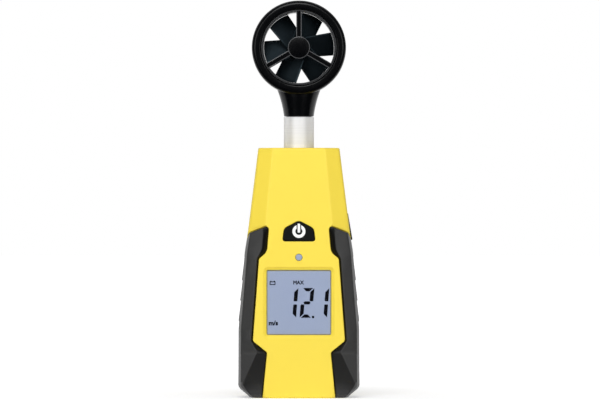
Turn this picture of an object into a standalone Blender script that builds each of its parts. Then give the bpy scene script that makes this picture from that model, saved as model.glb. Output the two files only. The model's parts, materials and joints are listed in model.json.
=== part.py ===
"""Handheld vane anemometer: hand unit with side grips, a turning stem and a fan in a ring.

Lengths are in metres, +Z is up and the front of the hand unit faces -Y.
"""

import math

import bmesh
import bpy
from mathutils import Matrix, Vector

# Clearances
FIT_GAP = 0.0002
PARTING_GAP = 0.0002
KEY_GAP = 0.00025
EMBED = 0.0003
REACH = 0.0100
TOUCH = 0.0001
SHARP_ANGLE = math.radians(24.0)

# Front panel, read from the base upwards
WINDOW_BASE = 0.0270
WINDOW_HEIGHT = 0.0278
WINDOW_WIDTH = 0.0276
WINDOW_BEVEL = 0.0010
LAMP_LIFT = 0.0054
LAMP_RADIUS = 0.00155
KEY_LIFT = 0.00705
KEY_BASE_WIDTH = 0.0137
KEY_SHOULDER_WIDTH = 0.0123
KEY_SHOULDER_RISE = 0.00525
KEY_HEIGHT = 0.0085
BOARD_ABOVE_KEY = 0.0033
STEM_BLOCK_LIFT = 0.01055

# Stem bearing, stacked from the block's lip to the top of the hand unit
LIP = 0.0017
LOWER_BUSH = 0.0054
COLLAR = 0.0012
UPPER_BUSH = 0.0061
TOP_WALL = 0.0022

# Hand unit outline
FRONT_DEPTH = 0.0155
WALL = 0.0020
BASE_HALF_WIDTH = 0.0213
BODY_HALF_WIDTH = 0.0260
BASE_CORNER_HEIGHT = 0.0056
SIDE_TAPER_HEIGHT = 0.0295
SHOULDER_HEIGHT = 0.0625
SHOULDER_HALF_WIDTH = 0.0235
NECKLINE_HEIGHT = 0.0705
NECKLINE_HALF_WIDTH = 0.0220
TOP_HALF_WIDTH = 0.0175
TOP_EDGE = 0.0008
BASE_EDGE = 0.0006
FACET_FALL = 0.0042
FACET_TOP_HALF_WIDTH = 0.0111
FACET_WAIST_HALF_WIDTH = 0.0143
FACET_WAIST_HEIGHT = 0.0730
FACET_UNDER_GRIP = 0.0005
REAR_CHAMFER = 0.0045

# Yellow panel between the grips
PANEL_BORDER_LOW = 0.00605
PANEL_BORDER_HIGH = 0.0034
PANEL_BELOW_WINDOW = 0.0025
PANEL_ABOVE_WINDOW = 0.0049
PANEL_BASE_HALF_WIDTH = 0.0157
WAIST_DROP = 0.0049
WAIST_HALF_WIDTH = 0.01375
TAB_CORNER_RISE = 0.0021
TAB_CORNER_HALF_WIDTH = 0.0145
TAB_RISE = 0.0040
TAB_HALF_WIDTH = 0.0136
TAB_TOP_HALF_WIDTH = 0.0132

# Side grips
GRIP_PEAK = 0.0733
GRIP_PROUD = 0.0004
GRIP_EDGE_DROP = 0.0012
GRIP_FACE_FALL = 0.0020
GRIP_STRIP = 0.0011
GRIP_SHOULDER_FALL = 0.0043
GRIP_SEAT_DEPTH = 0.0031
GRIP_SEAT_FALL = 0.0027
GRIP_SIDE = 0.0016
GRIP_REAR_WIDTH = 0.0046
GRIP_BASE_LIFT = 0.00025
GRIP_BASE_EDGE = 0.0015
GRIP_RIM = 0.0007
GRIP_TAB_RIM = 0.0023
GRIP_TOE_RIM = 0.0090
GRIP_TOE_HEIGHT = 0.0060
GRIP_HEEL_RIM = 0.0041
GRIP_NOTCH_HALF_DEPTH = 0.0050
GRIP_NOTCH_BELOW_KEY = 0.0009
CORE_TURN = 0.00495
FINGER_RIDGE = 0.0004
FINGER_RIDGE_PITCH = 0.0088
FINGER_RIDGE_LENGTH = 0.0080
FINGER_RIDGE_BASE = 0.0328
FINGER_RIDGE_HALF_DEPTH = 0.0085
FINGER_RIDGES = 3

# Display stack, front to back
WINDOW_THICKNESS = 0.0012
WINDOW_LAP = 0.0007
LCD_THICKNESS = 0.0020
LCD_LAP = 0.0004
LCD_LEDGE = 0.0028
CARRIER_THICKNESS = 0.0019
CARRIER_RIM = 0.0010
ZEBRA_WIDTH = 0.0018
BOARD_THICKNESS = 0.0016
BOARD_HALF_WIDTH = 0.0162
BOARD_BACK_GAP = 0.0003

# Battery compartment and door
COMPARTMENT_BASE = 0.0056
COMPARTMENT_WALL = 0.0016
COMPARTMENT_FLOOR = 0.0012
COMPARTMENT_HEADROOM = 0.0062
BATTERY_WIDTH = 0.0265
BATTERY_DEPTH = 0.0175
BATTERY_BODY = 0.0464
STUD_HEIGHT = 0.0020
STUD_SPACING = 0.0127
STUD_RADIUS = 0.0028
SOCKET_RADIUS = 0.0038
SNAP_HALF_WIDTH = 0.0125
SNAP_HALF_DEPTH = 0.0050
SNAP_THICKNESS = 0.0036
LEAD_RADIUS = 0.0006
LEAD_SPACING = 0.0060
DOOR_THICKNESS = 0.0017
DOOR_LEDGE = 0.0012
DOOR_TAB_OFFSET = 0.0080
DOOR_TAB_WIDTH = 0.0052
DOOR_TAB_THICKNESS = 0.0014
DOOR_TAB_REACH = 0.0022
THUMB_SCOOP_HALF_WIDTH = 0.0060
THUMB_SCOOP_DEPTH = 0.0012
THUMB_SCOOP_HEIGHT = 0.0018

# Screws
CASE_SCREW_RADIUS = 0.0011
CASE_HEAD_RADIUS = 0.0021
CASE_HEAD_HEIGHT = 0.0015
CASE_HEAD_SINK = 0.0030
CASE_SCREW_REACH = 0.0050
CASE_BOSS_RADIUS = 0.0028
CASE_PILLAR_RADIUS = 0.0036
LOWER_PILLAR_RADIUS = 0.0040
LOWER_SCREW_HEIGHT = 0.0110
LOWER_SCREW_OFFSET = 0.0030
UPPER_SCREW_LIFT = 0.0050
UPPER_SCREW_OFFSET = 0.0122
BOARD_SCREW_RADIUS = 0.0010
BOARD_HEAD_RADIUS = 0.0018
BOARD_HEAD_HEIGHT = 0.0008
BOARD_SCREW_REACH = 0.0036
BOARD_BOSS_RADIUS = 0.0022
BOARD_SCREW_OFFSET = 0.0128
SCREW_GAP = 0.0002

# Keys and switches
KEY_PROUD = 0.0004
KEY_FLANGE = 0.0010
KEY_FLANGE_LAP = 0.0010
KEY_POST_RADIUS = 0.0015
SWITCH_SIZE = 0.0060
SWITCH_HEIGHT = 0.0035
PLUNGER_RADIUS = 0.0015
PLUNGER_LENGTH = 0.0014
PLUNGER_SHOW = 0.0009
PLUNGER_WELL = 0.0017
SIDE_KEY_RISE = 0.0056
SIDE_KEY_LENGTH = 0.0128
SIDE_KEY_HALF_DEPTH = 0.0036
SIDE_KEY_PROUD_LOW = 0.0008
SIDE_KEY_PROUD_HIGH = 0.0002
SIDE_FLANGE_LAP = 0.0010
SIDE_POST = 0.0003
SIDE_SWITCH_LENGTH = 0.0044
SIDE_SWITCH_HEIGHT = 0.0044
SIDE_PLUNGER_RADIUS = 0.0010
LED_RADIUS = 0.0014
LED_HEIGHT = 0.0040
LENS_FLANGE = 0.0008

# Stem, neck and ring
STEM_RADIUS = 0.00645
STEM_BORE = 0.00565
STEM_EXPOSED = 0.0136
COLLAR_RADIUS = 0.0078
BUSH_RADIUS = 0.0094
BLOCK_WALL = 0.0017
NECK_HEIGHT = 0.0092
NECK_BASE_RADIUS = 0.00645
NECK_TOP_HALF_WIDTH = 0.00875
NECK_TOP_HALF_DEPTH = 0.0074
NECK_OVERLAP = 0.0031
SPIGOT_LENGTH = 0.0098
RING_RADIUS = 0.0202
DUCT_RADIUS = 0.0153
RING_HALF_DEPTH = 0.0090
REBATE_RADIUS = 0.0163
RING_OUTER_ROUND = 0.0029
RING_INNER_ROUND = 0.0006
REBATE_DEPTH = 0.0028

# Fan and its bearings
SPIDER_THICKNESS = 0.0020
SPIDER_RIM = 0.0008
SPOKE_WIDTH = 0.0021
SPOKE_COUNT = 3
SPIDER_HUB_RADIUS = 0.0047
SPIDER_HUB_BACK = 0.0008
JEWEL_RADIUS = 0.0014
JEWEL_LENGTH = 0.0018
JEWEL_WELL = 0.0014
AXLE_RADIUS = 0.0005
HUB_RADIUS = 0.0042
HUB_CROWN = 0.0009
HUB_END_GAP = 0.0006
BLADE_COUNT = 6
BLADE_PHASE = math.radians(7.0)
BLADE_PITCH = math.radians(40.0)
BLADE_ROOT_CHORD = 0.0108
BLADE_TIP_CHORD = 0.0124
BLADE_THICKNESS = 0.0007
BLADE_ROOT_RADIUS = 0.0030
BLADE_TIP_GAP = 0.0003

# Pickup in the neck
PICKUP_BOARD_HALF_WIDTH = 0.0034
PICKUP_BOARD_THICKNESS = 0.0012
PICKUP_POCKET_HALF_DEPTH = 0.0026
PICKUP_POCKET_BASE = 0.0004
PICKUP_SENSOR_HALF_WIDTH = 0.0014
PICKUP_SENSOR_HEIGHT = 0.0030
PICKUP_COVER = 0.0022
HEAD_SCREW_OFFSET = 0.0050
HEAD_SCREW_DROP = 0.0025
HEAD_SCREW_RADIUS = 0.0008
HEAD_SCREW_HEAD_RADIUS = 0.0014
HEAD_SCREW_HEAD_HEIGHT = 0.0010
HEAD_SCREW_SEAT = 0.0030
HEAD_SCREW_REACH = 0.0030
CABLE_RADIUS = 0.0011
CABLE_BORE = 0.0018
PLUG_HALF_WIDTH = 0.0040
PLUG_DEPTH = 0.0030
PLUG_HEIGHT = 0.0060
PLUG_BELOW_BOARD_TOP = 0.0020
CHIP_SIZE = 0.0090
CHIP_HEIGHT = 0.0007

# Heights that follow from the front panel
window_low = WINDOW_BASE
window_high = window_low + WINDOW_HEIGHT
window_half = WINDOW_WIDTH / 2
lamp_z = window_high + LAMP_LIFT
key_low = lamp_z + KEY_LIFT
key_high = key_low + KEY_HEIGHT
board_top = key_high + BOARD_ABOVE_KEY
block_low = board_top + STEM_BLOCK_LIFT
lower_bush_low = block_low + LIP + FIT_GAP
lower_bush_high = lower_bush_low + LOWER_BUSH
collar_low = lower_bush_high + FIT_GAP
collar_high = collar_low + COLLAR
upper_bush_low = collar_high + FIT_GAP
upper_bush_high = upper_bush_low + UPPER_BUSH
bore_high = upper_bush_high + FIT_GAP
body_top = bore_high + TOP_WALL
upper_screw_z = board_top + UPPER_SCREW_LIFT
side_key_z = key_low + SIDE_KEY_RISE
side_key_low = side_key_z - SIDE_KEY_LENGTH / 2
side_key_high = side_key_z + SIDE_KEY_LENGTH / 2
notch_floor = side_key_low - GRIP_NOTCH_BELOW_KEY

# Depths that follow from the display and battery stack
panel_y = -FRONT_DEPTH
front_inner = panel_y + WALL
window_front = front_inner + FIT_GAP
lcd_front = window_front + WINDOW_THICKNESS + FIT_GAP
carrier_front = lcd_front + LCD_THICKNESS + FIT_GAP
board_front = carrier_front + CARRIER_THICKNESS + FIT_GAP
board_back = board_front + BOARD_THICKNESS
compartment_front = board_back + BOARD_HEAD_HEIGHT + BOARD_BACK_GAP
battery_front = compartment_front + COMPARTMENT_FLOOR + FIT_GAP
battery_back = battery_front + BATTERY_DEPTH
door_inner = battery_back + FIT_GAP
rear_y = door_inner + DOOR_THICKNESS
rear_inner = rear_y - WALL

# Grip seat, measured from the front and rear faces
seat_depth = FRONT_DEPTH - GRIP_SEAT_DEPTH
rear_seat_depth = rear_y - GRIP_SEAT_DEPTH - GRIP_PROUD
grip_front = FRONT_DEPTH + GRIP_PROUD
grip_rear = rear_y - EMBED
boss_root = front_inner - EMBED
pillar_root = rear_inner + EMBED

# Head heights
neck_base_z = body_top + STEM_EXPOSED
ring_bottom = neck_base_z + NECK_HEIGHT
ring_z = ring_bottom + RING_RADIUS
neck_top_z = ring_bottom + NECK_OVERLAP
rebate_floor = RING_HALF_DEPTH - REBATE_DEPTH
spider_back = rebate_floor + FIT_GAP
spider_front = spider_back + SPIDER_THICKNESS
spider_hub_back = spider_back - SPIDER_HUB_BACK
hub_half_length = spider_hub_back - HUB_END_GAP

# Battery compartment box
compartment_half = max(BATTERY_WIDTH / 2, SNAP_HALF_WIDTH) + FIT_GAP
compartment_low = COMPARTMENT_BASE
battery_low = compartment_low + FIT_GAP
battery_high = battery_low + BATTERY_BODY
compartment_high = battery_high + COMPARTMENT_HEADROOM
battery_mid = (battery_front + battery_back) / 2
door_half = compartment_half + DOOR_LEDGE
door_low = compartment_low - DOOR_LEDGE
door_high = compartment_high + DOOR_LEDGE
door_seat = door_inner - FIT_GAP

# Outline of the hand unit: height and half width
OUTER_EDGE = (
    (0.0, BASE_HALF_WIDTH),
    (BASE_CORNER_HEIGHT, BODY_HALF_WIDTH),
    (SIDE_TAPER_HEIGHT, BODY_HALF_WIDTH),
    (SHOULDER_HEIGHT, SHOULDER_HALF_WIDTH),
    (NECKLINE_HEIGHT, NECKLINE_HALF_WIDTH),
    (body_top, TOP_HALF_WIDTH),
)

# Edge between the yellow panel and the grips: height and half width
panel_low = window_low - PANEL_BELOW_WINDOW
panel_high = window_high + PANEL_ABOVE_WINDOW
waist_z = panel_low - WAIST_DROP
tab_low = panel_high + TAB_RISE
INNER_EDGE = (
    (0.0, PANEL_BASE_HALF_WIDTH),
    (waist_z, WAIST_HALF_WIDTH),
    (panel_low, window_half + PANEL_BORDER_LOW),
    (panel_high, window_half + PANEL_BORDER_HIGH),
    (panel_high + TAB_CORNER_RISE, TAB_CORNER_HALF_WIDTH),
    (tab_low, TAB_HALF_WIDTH),
    (GRIP_PEAK, TAB_TOP_HALF_WIDTH),
)

# Width of the sloping rim along that edge
RIM_WIDTH = (
    (0.0, GRIP_HEEL_RIM),
    (GRIP_TOE_HEIGHT, GRIP_TOE_RIM),
    (waist_z, GRIP_HEEL_RIM),
    (panel_low, GRIP_RIM),
    (panel_high, GRIP_RIM),
    (panel_high + TAB_CORNER_RISE, GRIP_TAB_RIM),
    (GRIP_PEAK, GRIP_TAB_RIM),
)

# Edge of the flat front panel: height and half width
FACET_EDGE = (
    (0.0, WAIST_HALF_WIDTH),
    (panel_low, window_half + PANEL_BORDER_LOW),
    (panel_high, window_half + PANEL_BORDER_HIGH + FACET_UNDER_GRIP),
    (FACET_WAIST_HEIGHT, FACET_WAIST_HALF_WIDTH),
    (body_top, FACET_TOP_HALF_WIDTH),
)

FINISHES = {
    "case_yellow": ((0.930, 0.735, 0.095), 0.38, 0.0),
    "grip_black": ((0.030, 0.030, 0.031), 0.55, 0.0),
    "head_black": ((0.006, 0.006, 0.007), 0.25, 0.0),
    "fan_black": ((0.012, 0.015, 0.020), 0.35, 0.0),
    "key_black": ((0.008, 0.009, 0.009), 0.40, 0.0),
    "stem_steel": ((0.800, 0.805, 0.815), 0.25, 1.0),
    "screw_steel": ((0.420, 0.420, 0.430), 0.35, 1.0),
    "pane_clear": ((0.720, 0.740, 0.780), 0.05, 0.0),
    "display_grey": ((0.323, 0.381, 0.527), 0.20, 0.0),
    "carrier_white": ((0.780, 0.780, 0.760), 0.50, 0.0),
    "contact_rubber": ((0.240, 0.230, 0.240), 0.70, 0.0),
    "board_green": ((0.018, 0.120, 0.050), 0.40, 0.0),
    "chip_black": ((0.015, 0.015, 0.016), 0.45, 0.0),
    "switch_grey": ((0.180, 0.180, 0.185), 0.45, 0.0),
    "plug_white": ((0.750, 0.740, 0.700), 0.45, 0.0),
    "cable_grey": ((0.120, 0.120, 0.125), 0.55, 0.0),
    "lead_red": ((0.450, 0.015, 0.015), 0.50, 0.0),
    "lead_black": ((0.012, 0.012, 0.012), 0.50, 0.0),
    "cell_case": ((0.060, 0.080, 0.110), 0.35, 0.0),
    "bush_white": ((0.800, 0.800, 0.780), 0.45, 0.0),
    "jewel_red": ((0.320, 0.020, 0.040), 0.15, 0.0),
}

PLACE = {
    "X": lambda u, v, d: Vector((d, u, v)),
    "Y": lambda u, v, d: Vector((u, d, v)),
    "Z": lambda u, v, d: Vector((u, v, d)),
}


def along(profile, z):
    """Value at height z of a run of straight lines given as (z, value) points."""
    if z <= profile[0][0]:
        return profile[0][1]
    for (z0, v0), (z1, v1) in zip(profile, profile[1:]):
        if z <= z1:
            return v0 + (v1 - v0) * (z - z0) / (z1 - z0)
    return profile[-1][1]


def outer(z):
    return along(OUTER_EDGE, z)


def inner(z):
    return along(INNER_EDGE, z)


def rear_edge(z):
    return outer(z) - GRIP_REAR_WIDTH


def heights(low, high, *profiles):
    """Every height between two ends at which one of the profiles turns."""
    turns = {z for profile in profiles for z, _ in profile if low + TOUCH < z < high - TOUCH}
    kept = [low]
    for z in sorted(turns):
        if z - kept[-1] > TOUCH:
            kept.append(z)
    return kept + [high]


def finish(name):
    """Principled material for one of the finishes."""
    made = bpy.data.materials.get(name)
    if made:
        return made
    colour, roughness, metallic = FINISHES[name]
    made = bpy.data.materials.new(name)
    made.use_nodes = True
    shader = made.node_tree.nodes["Principled BSDF"]
    shader.inputs["Base Color"].default_value = (*colour, 1.0)
    shader.inputs["Roughness"].default_value = roughness
    shader.inputs["Metallic"].default_value = metallic
    return made


def settle(name, bm):
    """Turn a bmesh into an object with outward faces, its round faces shaded smooth."""
    bmesh.ops.recalc_face_normals(bm, faces=bm.faces[:])
    mesh = bpy.data.meshes.new(name)
    bm.to_mesh(mesh)
    bm.free()
    mesh.shade_smooth()
    mesh.set_sharp_from_angle(angle=SHARP_ANGLE)
    obj = bpy.data.objects.new(name, mesh)
    bpy.context.scene.collection.objects.link(obj)
    return obj


def piece(name, bm, coat):
    """Node of the part in one of the finishes."""
    obj = settle(name, bm)
    obj.data.materials.append(finish(coat))
    return obj


def tool(name, bm):
    """Hidden body used by a Boolean."""
    obj = settle(name, bm)
    obj.hide_render = True
    obj.display_type = "WIRE"
    return obj


def combine(obj, other, operation):
    step = obj.modifiers.new(other.name, "BOOLEAN")
    step.operation = operation
    step.solver = "EXACT"
    step.object = other


def cut(obj, other):
    combine(obj, other, "DIFFERENCE")


def join(obj, other):
    combine(obj, other, "UNION")


def add_box(bm, low, high):
    low = Vector(low)
    high = Vector(high)
    verts = bmesh.ops.create_cube(bm, size=1.0)["verts"]
    bmesh.ops.scale(bm, vec=high - low, verts=verts)
    bmesh.ops.translate(bm, vec=(low + high) / 2, verts=verts)


def add_cylinder(bm, start, end, radius, steps=16):
    start = Vector(start)
    end = Vector(end)
    span = end - start
    turn = Vector((0.0, 0.0, 1.0)).rotation_difference(span).to_matrix().to_4x4()
    bmesh.ops.create_cone(
        bm,
        cap_ends=True,
        segments=steps,
        radius1=radius,
        radius2=radius,
        depth=span.length,
        matrix=Matrix.Translation((start + end) / 2) @ turn,
    )


def add_prism(bm, outline, axis, low, high):
    """Extrude a flat outline along an axis."""
    place = PLACE[axis]
    face = bm.faces.new([bm.verts.new(place(u, v, low)) for u, v in outline])
    grown = bmesh.ops.extrude_face_region(bm, geom=[face])
    verts = [item for item in grown["geom"] if isinstance(item, bmesh.types.BMVert)]
    bmesh.ops.translate(bm, vec=place(0.0, 0.0, high - low), verts=verts)


def add_loft(bm, sections):
    """Skin a run of closed sections that all have the same number of points."""
    loops = [[bm.verts.new(point) for point in section] for section in sections]
    for lower, upper in zip(loops, loops[1:]):
        for i in range(len(lower)):
            j = (i + 1) % len(lower)
            bm.faces.new((lower[i], lower[j], upper[j]))
            bm.faces.new((lower[i], upper[j], upper[i]))
    bm.faces.new(loops[0])
    bm.faces.new(loops[-1])


def add_turned(bm, profile, centre, axis, steps=32):
    """Spin a closed (radius, height) profile round an axis through a centre."""
    spots = {
        "Y": lambda r, h: Vector((r, h, 0.0)),
        "Z": lambda r, h: Vector((r, 0.0, h)),
    }
    centre = Vector(centre)
    verts = [bm.verts.new(centre + spots[axis](r, h)) for r, h in profile]
    edges = [bm.edges.new((verts[i - 1], verts[i])) for i in range(len(verts))]
    bmesh.ops.spin(
        bm,
        geom=verts + edges,
        cent=centre,
        axis=PLACE[axis](0.0, 0.0, 1.0),
        angle=math.tau,
        steps=steps,
        use_merge=True,
    )
    bmesh.ops.remove_doubles(bm, verts=bm.verts[:], dist=TOUCH / 10)


def add_sweep(bm, path, radius, steps=10):
    """Round lead along a path that stays in one plane of constant X."""
    path = [Vector(point) for point in path]
    sections = []
    for i, point in enumerate(path):
        heading = (path[min(i + 1, len(path) - 1)] - path[max(i - 1, 0)]).normalized()
        side = Vector((1.0, 0.0, 0.0))
        rise = heading.cross(side).normalized()
        turns = [math.tau * k / steps for k in range(steps)]
        sections.append([point + radius * (side * math.cos(t) + rise * math.sin(t)) for t in turns])
    add_loft(bm, sections)


def s_bend(start, end, steps=6):
    """Points of a smooth double bend that leaves and arrives upright."""
    points = []
    for k in range(steps + 1):
        t = k / steps
        ease = t * t * (3.0 - 2.0 * t)
        points.append((start.x, start.y + (end.y - start.y) * ease, start.z + (end.z - start.z) * t))
    return points


def new_bm():
    return bmesh.new()


def pivot(name, spot, parent=None):
    """Empty on a joint's axis."""
    empty = bpy.data.objects.new(name, None)
    bpy.context.scene.collection.objects.link(empty)
    empty.location = Vector(spot)
    if parent:
        empty.parent = parent
        empty.location = Vector(spot) - parent.location
    return empty


def carry(empty, spot, objects):
    """Hang objects on a pivot without moving them."""
    for obj in objects:
        obj.parent = empty
        obj.location = -Vector(spot)


# Case halves


def mirrored(points):
    """Closed section from its right half, front to back or back to front."""
    return points + [(-x, y, z) for x, y, z in reversed(points)]


def front_blank():
    bm = new_bm()
    sections = []
    levels = heights(BASE_EDGE, body_top - TOP_EDGE, OUTER_EDGE, FACET_EDGE)
    ends = [(0.0, BASE_EDGE, 0.0)]
    ends += [(z, 0.0, 0.0) for z in levels]
    ends += [(body_top, TOP_EDGE, TOP_EDGE)]
    for z, back, narrow in ends:
        half = outer(z) - narrow
        flat = min(along(FACET_EDGE, z), half - EMBED) - narrow
        depth = FRONT_DEPTH - back
        side = depth - FACET_FALL
        sections.append(
            mirrored([(half, -PARTING_GAP / 2, z), (half, -side, z), (flat, -depth, z)])
        )
    add_loft(bm, sections)
    return bm


def rear_blank():
    bm = new_bm()
    sections = []
    levels = heights(BASE_EDGE, body_top - TOP_EDGE, OUTER_EDGE)
    ends = [(0.0, BASE_EDGE, 0.0)]
    ends += [(z, 0.0, 0.0) for z in levels]
    ends += [(body_top, TOP_EDGE, TOP_EDGE)]
    for z, back, narrow in ends:
        half = outer(z) - narrow
        flat = half - REAR_CHAMFER
        depth = rear_y - back
        side = depth - FACET_FALL
        sections.append(
            mirrored([(half, PARTING_GAP / 2, z), (half, side, z), (flat, depth, z)])
        )
    add_loft(bm, sections)
    return bm


def core_half(z):
    """Half width of the space inside the case."""
    below_grip_top = outer(z) - GRIP_SIDE - FIT_GAP - WALL
    above = outer(z) - WALL - FIT_GAP
    turn = ((notch_floor, below_grip_top), (notch_floor + CORE_TURN, above))
    return along(turn, z)


def hollow(front):
    """Space inside one case half, open past the parting plane."""
    bm = new_bm()
    turns = ((notch_floor, 0.0), (notch_floor + CORE_TURN, 0.0))
    sections = []
    for z in heights(WALL, bore_high, OUTER_EDGE, INNER_EDGE, turns):
        wide = core_half(z)
        if front:
            narrow = min(inner(z) - WALL - FIT_GAP, along(FACET_EDGE, z) - WALL)
            step = seat_depth - FIT_GAP - WALL
            corner = step - GRIP_SEAT_FALL
            deep = -front_inner
            side = -1.0
        else:
            narrow = rear_edge(z) - WALL - FIT_GAP
            step = rear_seat_depth - FIT_GAP - WALL
            corner = step - GRIP_SEAT_FALL
            deep = rear_inner
            side = 1.0
        sections.append(
            mirrored(
                [
                    (wide, -side * WALL, z),
                    (wide, side * corner, z),
                    (narrow, side * step, z),
                    (narrow, side * deep, z),
                ]
            )
        )
    add_loft(bm, sections)
    return bm


def notch_outline(lift):
    """Side view of the space above the grips, raised by a clearance."""
    floor = notch_floor + lift
    slope = (GRIP_PEAK - notch_floor) / (grip_front - GRIP_NOTCH_HALF_DEPTH)
    far = grip_front + REACH
    high = floor + slope * (far - GRIP_NOTCH_HALF_DEPTH)
    return [
        (-far, high),
        (-GRIP_NOTCH_HALF_DEPTH, floor),
        (GRIP_NOTCH_HALF_DEPTH, floor),
        (far, high),
        (far, high + REACH),
        (-far, high + REACH),
    ]


def grip_levels(low):
    return heights(low, GRIP_PEAK + EMBED, OUTER_EDGE, INNER_EDGE, RIM_WIDTH)


def grip_section(z, hand, base):
    """C-shaped section of a grip; base pulls the outer faces in at the foot."""
    edge = inner(z)
    half = outer(z)
    strip = half - GRIP_STRIP
    rim = min(edge + along(RIM_WIDTH, z), strip - EMBED)
    back = rear_edge(z)
    seat_side = half - GRIP_SIDE
    front_side = grip_front - GRIP_SHOULDER_FALL
    rear_side = grip_rear - GRIP_SHOULDER_FALL
    points = [
        (edge, -(FRONT_DEPTH - GRIP_EDGE_DROP - base)),
        (rim, -(grip_front - base)),
        (strip, -(grip_front - GRIP_FACE_FALL - base / 2)),
        (half, -front_side),
        (half, rear_side),
        (strip, grip_rear - GRIP_FACE_FALL - base / 2),
        (back + GRIP_RIM, grip_rear - base),
        (back, grip_rear - GRIP_EDGE_DROP - base),
        (back, rear_seat_depth),
        (seat_side, rear_seat_depth - GRIP_SEAT_FALL),
        (seat_side, -(seat_depth - GRIP_SEAT_FALL)),
        (edge, -seat_depth),
    ]
    return [(hand * x, y, z) for x, y in points]


def grip_pocket(hand):
    """Space the grip takes from the case, with its clearance."""
    bm = new_bm()
    sections = []
    for z in grip_levels(-REACH):
        edge = inner(z) - FIT_GAP
        back = rear_edge(z) - FIT_GAP
        seat_side = outer(z) - GRIP_SIDE - FIT_GAP
        front_seat = seat_depth - FIT_GAP
        rear_seat = rear_seat_depth - FIT_GAP
        wide = BODY_HALF_WIDTH + REACH
        deep = FRONT_DEPTH + REACH
        points = [
            (edge, -deep),
            (wide, -deep),
            (wide, deep),
            (back, deep),
            (back, rear_seat),
            (seat_side, rear_seat - GRIP_SEAT_FALL),
            (seat_side, -(front_seat - GRIP_SEAT_FALL)),
            (edge, -front_seat),
        ]
        sections.append([(hand * x, y, z) for x, y in points])
    add_loft(bm, sections)
    pocket = tool("grip_pocket", bm)
    bm = new_bm()
    far = BODY_HALF_WIDTH + 2 * REACH
    add_prism(bm, notch_outline(FIT_GAP), "X", -far, far)
    cut(pocket, tool("grip_pocket_top", bm))
    return pocket


def make_grip(name, hand):
    bm = new_bm()
    sections = [grip_section(GRIP_BASE_LIFT, hand, GRIP_BASE_EDGE)]
    for z in grip_levels(GRIP_BASE_LIFT + GRIP_BASE_EDGE):
        sections.append(grip_section(z, hand, 0.0))
    add_loft(bm, sections)
    grip = piece(name, bm, "grip_black")
    bm = new_bm()
    for i in range(FINGER_RIDGES):
        low = FINGER_RIDGE_BASE + i * FINGER_RIDGE_PITCH
        high = low + FINGER_RIDGE_LENGTH
        inside = outer(high) - GRIP_SIDE / 2
        run_out = outer(high) - EMBED
        ridge = [(inside, low), (outer(low) + FINGER_RIDGE, low), (run_out, high), (inside, high)]
        outline = [(hand * x, z) for x, z in ridge]
        add_prism(bm, outline, "Y", -FINGER_RIDGE_HALF_DEPTH, FINGER_RIDGE_HALF_DEPTH)
    join(grip, tool(name + "_ridges", bm))
    bm = new_bm()
    far = BODY_HALF_WIDTH + REACH
    add_prism(bm, notch_outline(0.0), "X", -far, far)
    cut(grip, tool(name + "_top", bm))
    return grip


def case_screw_spots():
    # The lower offset runs inwards from the grips, the upper one outwards from the middle
    lower = rear_edge(LOWER_SCREW_HEIGHT) - LOWER_SCREW_OFFSET
    return [
        (-lower, LOWER_SCREW_HEIGHT),
        (lower, LOWER_SCREW_HEIGHT),
        (-UPPER_SCREW_OFFSET, upper_screw_z),
        (UPPER_SCREW_OFFSET, upper_screw_z),
    ]


lcd_half = window_half + LCD_LAP
lcd_low = window_low - LCD_LEDGE
lcd_high = window_high + LCD_LAP
carrier_half = lcd_half + CARRIER_RIM
carrier_low = lcd_low - CARRIER_RIM
carrier_high = lcd_high + CARRIER_RIM
board_low = LOWER_SCREW_HEIGHT + CASE_BOSS_RADIUS + FIT_GAP


def board_screw_spots():
    low = carrier_low - BOARD_BOSS_RADIUS - FIT_GAP
    high = carrier_high + BOARD_BOSS_RADIUS + FIT_GAP
    return [(x, z) for z in (low, high) for x in (-BOARD_SCREW_OFFSET, BOARD_SCREW_OFFSET)]


def key_outline(grow):
    """Pentagon of the front key, grown outwards by a margin."""
    base = KEY_BASE_WIDTH / 2 + grow
    shoulder = KEY_SHOULDER_WIDTH / 2 + grow
    rise = key_low + KEY_SHOULDER_RISE + grow / 2
    return [
        (-base, key_low - grow),
        (base, key_low - grow),
        (shoulder, rise),
        (0.0, key_high + grow),
        (-shoulder, rise),
    ]


def stem_block(front):
    """Block round the stem bushes in one case half."""
    bm = new_bm()
    half = BUSH_RADIUS + FIT_GAP + BLOCK_WALL
    gap = PARTING_GAP / 2
    if front:
        add_box(bm, (-half, boss_root, block_low), (half, -gap, bore_high + EMBED))
    else:
        add_box(bm, (-half, gap, block_low), (half, pillar_root, bore_high + EMBED))
    return tool("stem_block", bm)


def stem_bores():
    """Stepped bore for the bushes and the stem, cut from both case halves."""
    bm = new_bm()
    profile = [
        (0.0, block_low - WALL),
        (COLLAR_RADIUS - FIT_GAP, block_low - WALL),
        (COLLAR_RADIUS - FIT_GAP, block_low + LIP),
        (BUSH_RADIUS + FIT_GAP, block_low + LIP),
        (BUSH_RADIUS + FIT_GAP, bore_high),
        (STEM_RADIUS + KEY_GAP, bore_high),
        (STEM_RADIUS + KEY_GAP, body_top + WALL),
        (0.0, body_top + WALL),
    ]
    add_turned(bm, profile, (0.0, 0.0, 0.0), "Z", steps=32)
    return tool("stem_bores", bm)


def side_key_opening():
    bm = new_bm()
    low = (core_half(side_key_low) - WALL, -SIDE_KEY_HALF_DEPTH - KEY_GAP, side_key_low - KEY_GAP)
    high = (BODY_HALF_WIDTH + REACH, SIDE_KEY_HALF_DEPTH + KEY_GAP, side_key_high + KEY_GAP)
    add_box(bm, low, high)
    return tool("side_key_opening", bm)


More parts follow.
